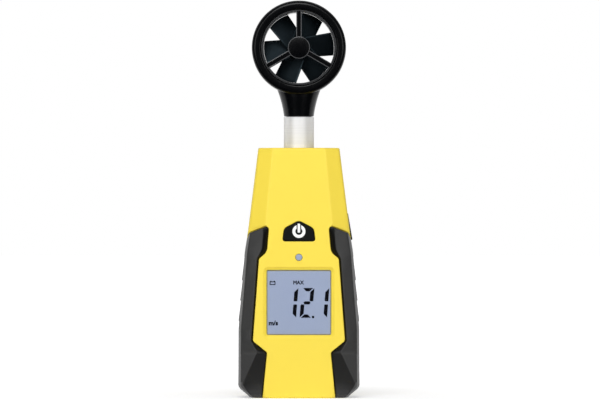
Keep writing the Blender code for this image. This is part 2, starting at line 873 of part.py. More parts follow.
def make_front_shell():
    shell = piece("front_shell", front_blank(), "case_yellow")
    cut(shell, tool("front_hollow", hollow(True)))
    bm = new_bm()
    for x, z in case_screw_spots():
        add_cylinder(bm, (x, boss_root, z), (x, -PARTING_GAP, z), CASE_BOSS_RADIUS)
    for x, z in board_screw_spots():
        add_cylinder(bm, (x, boss_root, z), (x, board_front - FIT_GAP, z), BOARD_BOSS_RADIUS)
    join(shell, tool("front_bosses", bm))
    join(shell, stem_block(True))
    bm = new_bm()
    for x, z in case_screw_spots():
        deep = -CASE_SCREW_REACH - WALL
        add_cylinder(bm, (x, deep, z), (x, WALL, z), CASE_SCREW_RADIUS + SCREW_GAP, steps=16)
    for x, z in board_screw_spots():
        deep = board_front - BOARD_SCREW_REACH - BOARD_THICKNESS / 2
        add_cylinder(bm, (x, deep, z), (x, board_front, z), BOARD_SCREW_RADIUS + SCREW_GAP, steps=16)
    cut(shell, tool("front_pilots", bm))
    cut(shell, stem_bores())
    cut(shell, side_key_opening())
    bm = new_bm()
    sections = []
    steps = (
        (panel_y - EMBED, WINDOW_BEVEL),
        (panel_y + WINDOW_BEVEL, 0.0),
        (front_inner + EMBED, 0.0),
    )
    for y, grow in steps:
        low = window_low - grow
        high = window_high + grow
        half = window_half + grow
        sections.append([(-half, y, low), (half, y, low), (half, y, high), (-half, y, high)])
    add_loft(bm, sections)
    cut(shell, tool("window_opening", bm))
    bm = new_bm()
    add_prism(bm, key_outline(KEY_GAP), "Y", panel_y - WALL, front_inner + EMBED)
    add_cylinder(
        bm,
        (0.0, panel_y - WALL, lamp_z),
        (0.0, front_inner + EMBED, lamp_z),
        LAMP_RADIUS + KEY_GAP,
    )
    cut(shell, tool("key_and_lamp_openings", bm))
    for hand in (-1, 1):
        cut(shell, grip_pocket(hand))
    return shell


def compartment_box():
    bm = new_bm()
    half = compartment_half + COMPARTMENT_WALL
    low = (-half, compartment_front, compartment_low - COMPARTMENT_WALL)
    high = (half, pillar_root, compartment_high + COMPARTMENT_WALL)
    add_box(bm, low, high)
    return tool("compartment_box", bm)


def compartment_space():
    """Battery space, door seat, tab slots and lead slot."""
    bm = new_bm()
    floor = compartment_front + COMPARTMENT_FLOOR
    add_box(
        bm,
        (-compartment_half, floor, compartment_low),
        (compartment_half, rear_y + REACH, compartment_high),
    )
    space = tool("compartment_space", bm)
    bm = new_bm()
    half = door_half + FIT_GAP
    add_box(bm, (-half, door_seat, door_low - FIT_GAP), (half, rear_y + REACH, door_high + FIT_GAP))
    seat = tool("door_seat", bm)
    bm = new_bm()
    tab_low_y = door_inner - WALL - DOOR_TAB_THICKNESS - DOOR_TAB_REACH / 2
    slot_half = DOOR_TAB_WIDTH / 2 + FIT_GAP
    for x in (-DOOR_TAB_OFFSET, DOOR_TAB_OFFSET):
        add_box(
            bm,
            (x - slot_half, tab_low_y, compartment_high - EMBED),
            (x + slot_half, door_seat + TOUCH, compartment_high + COMPARTMENT_WALL + EMBED),
        )
    lead_half = LEAD_SPACING / 2 + 2 * LEAD_RADIUS
    add_box(
        bm,
        (-lead_half, battery_mid - SNAP_HALF_DEPTH, compartment_high - EMBED),
        (lead_half, battery_mid + SNAP_HALF_DEPTH / 2, compartment_high + COMPARTMENT_WALL + EMBED),
    )
    slots = tool("compartment_slots", bm)
    bm = new_bm()
    add_prism(
        bm,
        [
            (rear_y - THUMB_SCOOP_DEPTH, door_low),
            (rear_y + EMBED, door_low - THUMB_SCOOP_HEIGHT),
            (rear_y + EMBED, door_low),
        ],
        "X",
        -THUMB_SCOOP_HALF_WIDTH,
        THUMB_SCOOP_HALF_WIDTH,
    )
    scoop = tool("thumb_scoop", bm)
    return space, seat, slots, scoop


def make_rear_shell():
    shell = piece("rear_shell", rear_blank(), "case_yellow")
    cut(shell, tool("rear_hollow", hollow(False)))
    bm = new_bm()
    for x, z in case_screw_spots()[:2]:
        add_cylinder(bm, (x, PARTING_GAP, z), (x, pillar_root, z), LOWER_PILLAR_RADIUS)
    for x, z in case_screw_spots()[2:]:
        add_cylinder(bm, (x, PARTING_GAP, z), (x, pillar_root, z), CASE_PILLAR_RADIUS)
    join(shell, tool("rear_pillars", bm))
    join(shell, stem_block(False))
    join(shell, compartment_box())
    for body in compartment_space():
        cut(shell, body)
    bm = new_bm()
    seat = rear_y - CASE_HEAD_SINK
    for x, z in case_screw_spots():
        add_cylinder(bm, (x, -WALL, z), (x, seat + EMBED, z), CASE_SCREW_RADIUS + SCREW_GAP, steps=16)
    cut(shell, tool("case_screw_holes", bm))
    bm = new_bm()
    for x, z in case_screw_spots():
        add_cylinder(bm, (x, seat, z), (x, rear_y + WALL, z), CASE_HEAD_RADIUS + KEY_GAP)
    cut(shell, tool("case_screw_sinks", bm))
    cut(shell, stem_bores())
    cut(shell, side_key_opening())
    for hand in (-1, 1):
        cut(shell, grip_pocket(hand))
    return shell


# Fasteners


def make_screw(name, spot, seat, head_radius, head_height, radius, reach, coat="screw_steel"):
    """Screw along -Y whose head rests on a seat depth and whose tip lies at reach."""
    x, z = spot
    bm = new_bm()
    under = seat + TOUCH
    profile = [
        (0.0, reach),
        (radius, reach),
        (radius, under),
        (head_radius, under),
        (head_radius, under + head_height),
        (0.0, under + head_height),
    ]
    add_turned(bm, profile, (x, 0.0, z), "Y", steps=16)
    return piece(name, bm, coat)


def make_case_screws():
    seat = rear_y - CASE_HEAD_SINK
    made = []
    for i, spot in enumerate(case_screw_spots(), start=1):
        name = "case_screw_%d" % i
        made.append(
            make_screw(
                name, spot, seat, CASE_HEAD_RADIUS, CASE_HEAD_HEIGHT, CASE_SCREW_RADIUS, -CASE_SCREW_REACH
            )
        )
    return made


def make_board_screws():
    tip = board_front - BOARD_SCREW_REACH
    made = []
    for i, spot in enumerate(board_screw_spots(), start=1):
        name = "board_screw_%d" % i
        made.append(
            make_screw(
                name, spot, board_back, BOARD_HEAD_RADIUS, BOARD_HEAD_HEIGHT, BOARD_SCREW_RADIUS, tip
            )
        )
    return made


# Display and board


def make_display():
    bm = new_bm()
    half = window_half + WINDOW_LAP
    add_box(
        bm,
        (-half, window_front, window_low - WINDOW_LAP),
        (half, window_front + WINDOW_THICKNESS, window_high + WINDOW_LAP),
    )
    piece("display_window", bm, "pane_clear")
    bm = new_bm()
    add_box(bm, (-lcd_half, lcd_front, lcd_low), (lcd_half, lcd_front + LCD_THICKNESS, lcd_high))
    piece("lcd_glass", bm, "display_grey")
    bm = new_bm()
    carrier_back = carrier_front + CARRIER_THICKNESS
    add_box(bm, (-carrier_half, carrier_front, carrier_low), (carrier_half, carrier_back, carrier_high))
    carrier = piece("lcd_carrier", bm, "carrier_white")
    bm = new_bm()
    slot_half = lcd_half - CARRIER_RIM
    strip_low = lcd_low + CARRIER_RIM / 2
    strip_high = lcd_high - CARRIER_RIM / 2 - ZEBRA_WIDTH - 2 * FIT_GAP
    light_low = strip_low + ZEBRA_WIDTH + 2 * FIT_GAP + CARRIER_RIM
    light_high = strip_high - CARRIER_RIM
    for low, high in (
        (strip_low, strip_low + ZEBRA_WIDTH + 2 * FIT_GAP),
        (strip_high, strip_high + ZEBRA_WIDTH + 2 * FIT_GAP),
        (light_low, light_high),
    ):
        add_box(bm, (-slot_half, carrier_front - WALL, low), (slot_half, carrier_back + WALL, high))
    cut(carrier, tool("carrier_slots", bm))
    for name, low in (("zebra_strip_lower", strip_low), ("zebra_strip_upper", strip_high)):
        bm = new_bm()
        add_box(
            bm,
            (-slot_half + FIT_GAP, lcd_front + LCD_THICKNESS + TOUCH, low + FIT_GAP),
            (slot_half - FIT_GAP, board_front - TOUCH, low + FIT_GAP + ZEBRA_WIDTH),
        )
        piece(name, bm, "contact_rubber")


def make_board():
    bm = new_bm()
    add_box(bm, (-BOARD_HALF_WIDTH, board_front, board_low), (BOARD_HALF_WIDTH, board_back, board_top))
    board = piece("main_board", bm, "board_green")
    bm = new_bm()
    for x, z in board_screw_spots():
        add_cylinder(
            bm,
            (x, board_front - WALL, z),
            (x, board_back + WALL, z),
            BOARD_SCREW_RADIUS + SCREW_GAP,
            steps=16,
        )
    cut(board, tool("board_holes", bm))
    bm = new_bm()
    chip_z = (window_low + window_high) / 2
    add_box(
        bm,
        (-CHIP_SIZE / 2, board_back + TOUCH, chip_z - CHIP_SIZE / 2),
        (CHIP_SIZE / 2, board_back + TOUCH + CHIP_HEIGHT, chip_z + CHIP_SIZE / 2),
    )
    piece("controller_chip", bm, "chip_black")
    bm = new_bm()
    plug_high = board_top - PLUG_BELOW_BOARD_TOP
    add_box(
        bm,
        (-PLUG_HALF_WIDTH, board_back + TOUCH, plug_high - PLUG_HEIGHT),
        (PLUG_HALF_WIDTH, board_back + TOUCH + PLUG_DEPTH, plug_high),
    )
    piece("sensor_plug", bm, "plug_white")
    bm = new_bm()
    lens_back = front_inner + FIT_GAP + LENS_FLANGE
    profile = [
        (0.0, panel_y + FIT_GAP),
        (LAMP_RADIUS, panel_y + FIT_GAP),
        (LAMP_RADIUS, front_inner + FIT_GAP),
        (LAMP_RADIUS + LENS_FLANGE, front_inner + FIT_GAP),
        (LAMP_RADIUS + LENS_FLANGE, lens_back),
        (0.0, lens_back),
    ]
    add_turned(bm, profile, (0.0, 0.0, lamp_z), "Y", steps=24)
    piece("status_lens", bm, "display_grey")
    bm = new_bm()
    tip = board_front - TOUCH - LED_HEIGHT
    profile = [
        (0.0, tip),
        (LED_RADIUS * math.sin(math.pi / 4), tip + LED_RADIUS * (1 - math.cos(math.pi / 4))),
        (LED_RADIUS, tip + LED_RADIUS),
        (LED_RADIUS, board_front - TOUCH),
        (0.0, board_front - TOUCH),
    ]
    add_turned(bm, profile, (0.0, 0.0, lamp_z), "Y", steps=16)
    piece("status_led", bm, "pane_clear")


# Keys


def make_power_key():
    flange_front = front_inner + FIT_GAP
    flange_back = flange_front + KEY_FLANGE
    switch_z = key_low + KEY_HEIGHT / 2
    switch_back = board_front - TOUCH
    switch_front = switch_back - SWITCH_HEIGHT
    plunger_front = switch_front - PLUNGER_SHOW
    bm = new_bm()
    add_prism(bm, key_outline(0.0), "Y", panel_y - KEY_PROUD, flange_front + EMBED)
    key = piece("power_button", bm, "key_black")
    bm = new_bm()
    add_prism(bm, key_outline(KEY_FLANGE_LAP), "Y", flange_front, flange_back)
    join(key, tool("power_flange", bm))
    bm = new_bm()
    post_start = (0.0, flange_back - EMBED, switch_z)
    add_cylinder(bm, post_start, (0.0, plunger_front - TOUCH, switch_z), KEY_POST_RADIUS, steps=16)
    join(key, tool("power_post", bm))
    bm = new_bm()
    half = SWITCH_SIZE / 2
    add_box(bm, (-half, switch_front, switch_z - half), (half, switch_back, switch_z + half))
    switch = piece("power_switch", bm, "switch_grey")
    bm = new_bm()
    add_cylinder(
        bm,
        (0.0, switch_front - WALL, switch_z),
        (0.0, switch_front + PLUNGER_WELL, switch_z),
        PLUNGER_RADIUS + FIT_GAP,
        steps=16,
    )
    cut(switch, tool("power_well", bm))
    bm = new_bm()
    plunger_end = (0.0, plunger_front + PLUNGER_LENGTH, switch_z)
    add_cylinder(bm, (0.0, plunger_front, switch_z), plunger_end, PLUNGER_RADIUS, steps=16)
    plunger = piece("power_plunger", bm, "chip_black")
    spot = (0.0, panel_y, switch_z)
    carry(pivot("power_key_slide", spot), spot, (key, plunger))


def make_side_key():
    switch_z = side_key_z
    switch_y = board_back + TOUCH + SIDE_SWITCH_HEIGHT / 2
    flange_high = side_key_high + SIDE_FLANGE_LAP
    flange_low = side_key_low + SIDE_FLANGE_LAP + WALL
    flange_out = core_half(flange_high) - FIT_GAP - TOUCH
    flange_in = flange_out - KEY_FLANGE
    plunger_out = flange_in - SIDE_POST - TOUCH
    switch_out = plunger_out - PLUNGER_SHOW
    bm = new_bm()
    outline = [
        (flange_out - EMBED, side_key_low),
        (outer(side_key_low) + SIDE_KEY_PROUD_LOW, side_key_low),
        (outer(side_key_high) + SIDE_KEY_PROUD_HIGH, side_key_high),
        (flange_out - EMBED, side_key_high),
    ]
    add_prism(bm, outline, "Y", -SIDE_KEY_HALF_DEPTH, SIDE_KEY_HALF_DEPTH)
    key = piece("side_button", bm, "key_black")
    bm = new_bm()
    wide = SIDE_KEY_HALF_DEPTH + SIDE_FLANGE_LAP
    add_box(bm, (flange_in, -wide, flange_low), (flange_out, wide, flange_high))
    join(key, tool("side_flange", bm))
    bm = new_bm()
    post_start = (flange_in + EMBED, switch_y, switch_z)
    post_end = (plunger_out + TOUCH, switch_y, switch_z)
    add_cylinder(bm, post_start, post_end, SIDE_PLUNGER_RADIUS, steps=16)
    join(key, tool("side_post", bm))
    bm = new_bm()
    half = SWITCH_SIZE / 2
    add_box(
        bm,
        (switch_out - SIDE_SWITCH_LENGTH, board_back + TOUCH, switch_z - half),
        (switch_out, board_back + TOUCH + SIDE_SWITCH_HEIGHT, switch_z + half),
    )
    switch = piece("side_switch", bm, "switch_grey")
    bm = new_bm()
    well_start = (switch_out + WALL, switch_y, switch_z)
    well_end = (switch_out - PLUNGER_WELL, switch_y, switch_z)
    add_cylinder(bm, well_start, well_end, SIDE_PLUNGER_RADIUS + FIT_GAP, steps=16)
    cut(switch, tool("side_well", bm))
    bm = new_bm()
    plunger_end = (plunger_out - PLUNGER_LENGTH, switch_y, switch_z)
    add_cylinder(bm, (plunger_out, switch_y, switch_z), plunger_end, SIDE_PLUNGER_RADIUS, steps=16)
    plunger = piece("side_plunger", bm, "chip_black")
    spot = (outer(switch_z), 0.0, switch_z)
    carry(pivot("side_key_slide", spot), spot, (key, plunger))


# Battery and door


def make_battery():
    half = BATTERY_WIDTH / 2
    bm = new_bm()
    add_box(bm, (-half, battery_front, battery_low), (half, battery_back, battery_high))
    cell = piece("battery", bm, "cell_case")
    bm = new_bm()
    for x, radius in ((-STUD_SPACING / 2, STUD_RADIUS), (STUD_SPACING / 2, SOCKET_RADIUS)):
        add_cylinder(
            bm,
            (x, battery_mid, battery_high - EMBED),
            (x, battery_mid, battery_high + STUD_HEIGHT),
            radius,
            steps=16,
        )
    join(cell, tool("battery_studs", bm))
    snap_low = battery_high + FIT_GAP
    snap_high = snap_low + SNAP_THICKNESS
    bm = new_bm()
    add_box(
        bm,
        (-SNAP_HALF_WIDTH, battery_mid - SNAP_HALF_DEPTH, snap_low),
        (SNAP_HALF_WIDTH, battery_mid + SNAP_HALF_DEPTH, snap_high),
    )
    snap = piece("battery_snap", bm, "chip_black")
    bm = new_bm()
    for x, radius in ((-STUD_SPACING / 2, STUD_RADIUS), (STUD_SPACING / 2, SOCKET_RADIUS)):
        add_cylinder(
            bm,
            (x, battery_mid, snap_low - WALL),
            (x, battery_mid, battery_high + STUD_HEIGHT + FIT_GAP),
            radius + FIT_GAP,
            steps=16,
        )
    cut(snap, tool("snap_cups", bm))
    lead_y = board_back + LEAD_RADIUS + FIT_GAP
    lead_high = board_top - PLUG_BELOW_BOARD_TOP - PLUG_HEIGHT - WALL
    cross_low = compartment_high + COMPARTMENT_WALL
    cross_high = lead_high - WALL
    for name, x, coat in (
        ("battery_lead_plus", LEAD_SPACING / 2, "lead_red"),
        ("battery_lead_minus", -LEAD_SPACING / 2, "lead_black"),
    ):
        bm = new_bm()
        path = [(x, battery_mid, snap_high + TOUCH)]
        path += s_bend(Vector((x, battery_mid, cross_low)), Vector((x, lead_y, cross_high)))
        path += [(x, lead_y, lead_high)]
        add_sweep(bm, path, LEAD_RADIUS, steps=8)
        piece(name, bm, coat)


def make_door():
    bm = new_bm()
    add_box(bm, (-door_half, door_inner, door_low), (door_half, rear_y, door_high))
    door = piece("battery_door", bm, "case_yellow")
    bm = new_bm()
    hook_out = rear_inner - FIT_GAP - TOUCH
    hook_in = hook_out - DOOR_TAB_THICKNESS
    for x in (-DOOR_TAB_OFFSET, DOOR_TAB_OFFSET):
        outline = [
            (hook_in, door_high - DOOR_LEDGE + FIT_GAP),
            (door_inner + EMBED, door_high - DOOR_LEDGE + FIT_GAP),
            (door_inner + EMBED, door_high - FIT_GAP),
            (hook_out, door_high - FIT_GAP),
            (hook_out, door_high + DOOR_TAB_REACH),
            (hook_in, door_high + DOOR_TAB_REACH),
        ]
        add_prism(bm, outline, "X", x - DOOR_TAB_WIDTH / 2, x + DOOR_TAB_WIDTH / 2)
    join(door, tool("door_tabs", bm))
    spot = (0.0, rear_y, door_high + FIT_GAP)
    carry(pivot("door_hinge", spot), spot, (door,))


# Stem and head


def make_bushes():
    for name, low, high in (
        ("lower_bush", lower_bush_low, lower_bush_high),
        ("upper_bush", upper_bush_low, upper_bush_high),
    ):
        bm = new_bm()
        bore = STEM_RADIUS + TOUCH
        profile = [(bore, low), (BUSH_RADIUS, low), (BUSH_RADIUS, high), (bore, high)]
        add_turned(bm, profile, (0.0, 0.0, 0.0), "Z", steps=32)
        piece(name, bm, "bush_white")


def make_stem():
    bm = new_bm()
    low = block_low + FIT_GAP
    high = neck_base_z - FIT_GAP
    profile = [
        (STEM_BORE, low),
        (STEM_RADIUS, low),
        (STEM_RADIUS, collar_low),
        (COLLAR_RADIUS, collar_low),
        (COLLAR_RADIUS, collar_high),
        (STEM_RADIUS, collar_high),
        (STEM_RADIUS, high),
        (STEM_BORE, high),
    ]
    add_turned(bm, profile, (0.0, 0.0, 0.0), "Z", steps=32)
    return piece("stem_tube", bm, "stem_steel")


def round_edge(radius, depth, bend, start, steps):
    """Quarter circle in a (radius, depth) section, from a start angle onwards."""
    turns = [start + math.pi / 2 * k / steps for k in range(steps + 1)]
    return [(radius + bend * math.cos(t), depth + bend * math.sin(t)) for t in turns]


def ring_profile(side):
    """Section of one ring half as (radius, depth) points."""
    split = PARTING_GAP / 2
    points = [(RING_RADIUS, split)]
    centre = (RING_RADIUS - RING_OUTER_ROUND, RING_HALF_DEPTH - RING_OUTER_ROUND)
    points += round_edge(*centre, RING_OUTER_ROUND, 0.0, steps=5)
    centre = (REBATE_RADIUS + RING_INNER_ROUND, RING_HALF_DEPTH - RING_INNER_ROUND)
    points += round_edge(*centre, RING_INNER_ROUND, math.pi / 2, steps=2)
    points += [(REBATE_RADIUS, rebate_floor), (DUCT_RADIUS, rebate_floor), (DUCT_RADIUS, split)]
    return [(r, side * y) for r, y in points]


def neck_half(side):
    """Cone under the ring and the spigot that goes into the stem."""
    bm = new_bm()
    grow = NECK_OVERLAP / NECK_HEIGHT
    top_width = NECK_TOP_HALF_WIDTH + grow * (NECK_TOP_HALF_WIDTH - NECK_BASE_RADIUS)
    split = PARTING_GAP / 2
    steps = 14
    sections = []
    for z, wide, deep in (
        (neck_base_z, NECK_BASE_RADIUS, NECK_BASE_RADIUS),
        (ring_bottom, NECK_TOP_HALF_WIDTH, NECK_TOP_HALF_DEPTH),
        (neck_top_z, top_width, NECK_TOP_HALF_DEPTH),
    ):
        turns = [math.pi * k / steps for k in range(steps + 1)]
        sections.append(
            [(wide * math.cos(t), side * (split + (deep - split) * math.sin(t)), z) for t in turns]
        )
    add_loft(bm, sections)
    cone = tool("neck_cone", bm)
    bm = new_bm()
    radius = STEM_BORE - FIT_GAP
    low = neck_base_z - SPIGOT_LENGTH
    sections = []
    for z in (low, neck_base_z + WALL):
        turns = [math.pi * k / steps for k in range(steps + 1)]
        sections.append(
            [(radius * math.cos(t), side * (split + (radius - split) * math.sin(t)), z) for t in turns]
        )
    add_loft(bm, sections)
    return cone, tool("neck_spigot", bm)


pocket_low = neck_base_z + PICKUP_POCKET_BASE
pocket_high = ring_bottom + PICKUP_COVER
pocket_half = PICKUP_BOARD_HALF_WIDTH + FIT_GAP
sensor_half = PICKUP_SENSOR_HALF_WIDTH
head_screw_z = ring_bottom - HEAD_SCREW_DROP


def neck_spaces():
    """Cable bore, pickup pocket and sensor slot."""
    bm = new_bm()
    low = neck_base_z - SPIGOT_LENGTH - WALL
    add_cylinder(bm, (0.0, 0.0, low), (0.0, 0.0, pocket_low + EMBED), CABLE_BORE, steps=16)
    bore = tool("cable_bore", bm)
    bm = new_bm()
    deep = PICKUP_POCKET_HALF_DEPTH
    add_box(bm, (-pocket_half, -deep, pocket_low), (pocket_half, deep, pocket_high))
    pocket = tool("pickup_pocket", bm)
    bm = new_bm()
    slot = sensor_half + FIT_GAP
    add_box(bm, (-slot, -slot, pocket_high - EMBED), (slot, slot, ring_z - DUCT_RADIUS + WALL))
    return bore, pocket, tool("sensor_slot", bm)


def make_head_shells():
    made = []
    for name, side in (("head_front_shell", -1.0), ("head_rear_shell", 1.0)):
        bm = new_bm()
        add_turned(bm, ring_profile(side), (0.0, 0.0, ring_z), "Y", steps=48)
        shell = piece(name, bm, "head_black")
        for body in neck_half(side):
            join(shell, body)
        for body in neck_spaces():
            cut(shell, body)
        made.append(shell)
    front, rear = made
    bm = new_bm()
    hole = HEAD_SCREW_RADIUS + SCREW_GAP
    for x in (-HEAD_SCREW_OFFSET, HEAD_SCREW_OFFSET):
        add_cylinder(
            bm,
            (x, -HEAD_SCREW_REACH - FIT_GAP, head_screw_z),
            (x, HEAD_SCREW_SEAT + EMBED, head_screw_z),
            hole,
            steps=16,
        )
    holes = tool("head_screw_holes", bm)
    bm = new_bm()
    for x in (-HEAD_SCREW_OFFSET, HEAD_SCREW_OFFSET):
        add_cylinder(
            bm,
            (x, HEAD_SCREW_SEAT, head_screw_z),
            (x, NECK_TOP_HALF_DEPTH + WALL, head_screw_z),
            HEAD_SCREW_HEAD_RADIUS + FIT_GAP,
            steps=16,
        )
    sinks = tool("head_screw_sinks", bm)
    cut(front, holes)
    cut(rear, holes)
    cut(rear, sinks)
    return made


def make_head_screws():
    made = []
    for i, x in enumerate((-HEAD_SCREW_OFFSET, HEAD_SCREW_OFFSET), start=1):
        made.append(
            make_screw(
                "head_screw_%d" % i,
                (x, head_screw_z),
                HEAD_SCREW_SEAT,
                HEAD_SCREW_HEAD_RADIUS,
                HEAD_SCREW_HEAD_HEIGHT,
                HEAD_SCREW_RADIUS,
                -HEAD_SCREW_REACH,
            )
        )
    return made


def make_spider(name, side):
    """Rim, spokes and hub that hold one end of the axle."""
    rim_out = REBATE_RADIUS - FIT_GAP
    rim_in = rim_out - SPIDER_RIM
    centre = (0.0, 0.0, ring_z)
    low = side * spider_back
    high = side * spider_front
    bm = new_bm()
    add_turned(bm, [(rim_in, low), (rim_out, low), (rim_out, high), (rim_in, high)], centre, "Y", steps=48)
    spider = piece(name, bm, "head_black")
    bm = new_bm()
    half = SPOKE_WIDTH / 2
    near = min(low, high) + TOUCH
    far = max(low, high) - TOUCH
    for k in range(SPOKE_COUNT):
        turn = math.radians(90.0) + math.tau * k / SPOKE_COUNT
        verts_before = len(bm.verts)
        add_box(
            bm,
            (SPIDER_HUB_RADIUS / 2, near, -half),
            (rim_out - SPIDER_RIM / 2, far, half),
        )
        bm.verts.ensure_lookup_table()
        spoke = bm.verts[verts_before:]
        bmesh.ops.rotate(bm, verts=spoke, cent=(0.0, 0.0, 0.0), matrix=Matrix.Rotation(-turn, 3, "Y"))
        bmesh.ops.translate(bm, verts=spoke, vec=centre)
    join(spider, tool(name + "_spokes", bm))
    bm = new_bm()
    well = spider_hub_back + JEWEL_LENGTH + FIT_GAP
    profile = [
        (0.0, spider_front + FIT_GAP),
        (SPIDER_HUB_RADIUS, spider_front + FIT_GAP),
        (SPIDER_HUB_RADIUS, spider_hub_back),
        (JEWEL_RADIUS + TOUCH, spider_hub_back),
        (JEWEL_RADIUS + TOUCH, well),
        (0.0, well),
    ]
    add_turned(bm, [(r, side * y) for r, y in profile], centre, "Y", steps=32)
    join(spider, tool(name + "_hub", bm))
    return spider


def make_jewel(name, side):
    bm = new_bm()
    face = spider_hub_back + TOUCH
    bore = AXLE_RADIUS + TOUCH
    profile = [
        (0.0, face + JEWEL_LENGTH),
        (JEWEL_RADIUS, face + JEWEL_LENGTH),
        (JEWEL_RADIUS, face),
        (bore, face),
        (bore, face + JEWEL_WELL),
        (0.0, face + JEWEL_WELL),
    ]
    add_turned(bm, [(r, side * y) for r, y in profile], (0.0, 0.0, ring_z), "Y", steps=16)
    return piece(name, bm, "jewel_red")


def make_pickup():
    made = []
    bm = new_bm()
    half = PICKUP_BOARD_THICKNESS / 2
    sensor_low = pocket_high - FIT_GAP
    add_box(
        bm,
        (-PICKUP_BOARD_HALF_WIDTH, -half, pocket_low + FIT_GAP),
        (PICKUP_BOARD_HALF_WIDTH, half, sensor_low - TOUCH),
    )
    made.append(piece("pickup_board", bm, "board_green"))
    bm = new_bm()
    tip = min(sensor_low + PICKUP_SENSOR_HEIGHT, ring_z - DUCT_RADIUS - TOUCH)
    add_box(bm, (-sensor_half, -sensor_half, sensor_low), (sensor_half, sensor_half, tip))
    made.append(piece("pickup_sensor", bm, "chip_black"))
    return made


def make_fan():
    centre = Vector((0.0, 0.0, ring_z))
    tip_radius = DUCT_RADIUS - BLADE_TIP_GAP
    bm = new_bm()
    bore = AXLE_RADIUS + TOUCH
    crown = HUB_RADIUS - HUB_CROWN
    profile = [
        (bore, -hub_half_length),
        (crown, -hub_half_length),
        (HUB_RADIUS, -hub_half_length + HUB_CROWN),
        (HUB_RADIUS, hub_half_length - HUB_CROWN),
        (crown, hub_half_length),
        (bore, hub_half_length),
    ]
    add_turned(bm, profile, centre, "Y", steps=32)
    fan = piece("impeller", bm, "fan_black")
    bm = new_bm()
    over = tip_radius + EMBED
    for k in range(BLADE_COUNT):
        turn = BLADE_PHASE + math.tau * k / BLADE_COUNT
        radial = Vector((math.cos(turn), 0.0, math.sin(turn)))
        tangent = Vector((-math.sin(turn), 0.0, math.cos(turn)))
        chord = tangent * math.cos(BLADE_PITCH) - Vector((0.0, 1.0, 0.0)) * math.sin(BLADE_PITCH)
        normal = radial.cross(chord)
        sections = []
        for radius, width in ((BLADE_ROOT_RADIUS, BLADE_ROOT_CHORD), (over, BLADE_TIP_CHORD)):
            spot = centre + radial * radius
            across = chord * width / 2
            thick = normal * BLADE_THICKNESS / 2
            sections.append(
                [spot - across - thick, spot + across - thick, spot + across + thick, spot - across + thick]
            )
        add_loft(bm, sections)
    blades = tool("fan_blades", bm)
    bm = new_bm()
    depth = RING_HALF_DEPTH
    add_cylinder(
        bm,
        centre - Vector((0.0, depth, 0.0)),
        centre + Vector((0.0, depth, 0.0)),
        tip_radius,
        steps=72,
    )
    combine(blades, tool("fan_sweep", bm), "INTERSECT")
    join(fan, blades)
    bm = new_bm()
    end = Vector((0.0, spider_hub_back + JEWEL_WELL - FIT_GAP, 0.0))
    add_cylinder(bm, centre - end, centre + end, AXLE_RADIUS)
    axle = piece("impeller_axle", bm, "stem_steel")
    return fan, axle


def make_cable():
    bm = new_bm()
    plug_high = board_top - PLUG_BELOW_BOARD_TOP
    plug_y = board_back + TOUCH + PLUG_DEPTH / 2
    turn_high = Vector((0.0, 0.0, block_low - WALL))
    turn_low = Vector((0.0, plug_y, plug_high + WALL))
    path = [(0.0, 0.0, pocket_low - FIT_GAP)]
    path += s_bend(turn_high, turn_low)
    path += [(0.0, plug_y, plug_high + TOUCH)]
    add_sweep(bm, path, CABLE_RADIUS, steps=10)
    piece("sensor_cable", bm, "cable_grey")


def make_head():
    parts = [make_stem()]
    parts += make_head_shells()
    parts += make_head_screws()
    parts += [make_spider("front_spider", -1.0), make_spider("rear_spider", 1.0)]
    parts += [make_jewel("front_jewel", -1.0), make_jewel("rear_jewel", 1.0)]
    parts += make_pickup()
    swivel_spot = Vector((0.0, 0.0, body_top))
    swivel = pivot("head_swivel", swivel_spot)
    carry(swivel, swivel_spot, parts)
    spin_spot = Vector((0.0, 0.0, ring_z))
    carry(pivot("fan_spin", spin_spot, swivel), spin_spot, make_fan())


def main():
    for obj in list(bpy.data.objects):
        bpy.data.objects.remove(obj)
    make_front_shell()
    make_rear_shell()
    make_grip("left_grip", -1)
    make_grip("right_grip", 1)
    make_case_screws()
    make_display()
    make_board()
    make_board_screws()
    make_power_key()
    make_side_key()
    make_battery()
    make_door()
    make_bushes()
    make_cable()
    make_head()


main()
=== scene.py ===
"""Handheld vane anemometer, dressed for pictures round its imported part.

Laid out as an add-on: settings, one operator for each group of pieces, one panel.
Lengths are in metres, +Z is up and the front of the hand unit faces -Y.
"""

import json
import math

import bmesh
import bpy
from bpy.props import FloatProperty, FloatVectorProperty, IntProperty, PointerProperty
from bpy.types import Operator, Panel, PropertyGroup
from mathutils import Matrix, Vector


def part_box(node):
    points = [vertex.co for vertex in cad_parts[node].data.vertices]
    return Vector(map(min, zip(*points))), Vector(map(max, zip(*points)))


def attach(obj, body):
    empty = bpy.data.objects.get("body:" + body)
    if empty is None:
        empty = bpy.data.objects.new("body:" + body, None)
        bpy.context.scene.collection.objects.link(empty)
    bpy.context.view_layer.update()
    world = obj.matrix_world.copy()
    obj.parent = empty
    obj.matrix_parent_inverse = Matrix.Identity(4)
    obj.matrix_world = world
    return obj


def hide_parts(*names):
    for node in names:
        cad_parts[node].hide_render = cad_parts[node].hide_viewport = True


bl_info = {
    "name": "Vane anemometer",
    "version": (1, 0, 0),
    "blender": (4, 5, 0),
    "location": "3D View > Sidebar > Meter",
    "description": "Dresses the packed vane anemometer",
    "category": "Object",
}

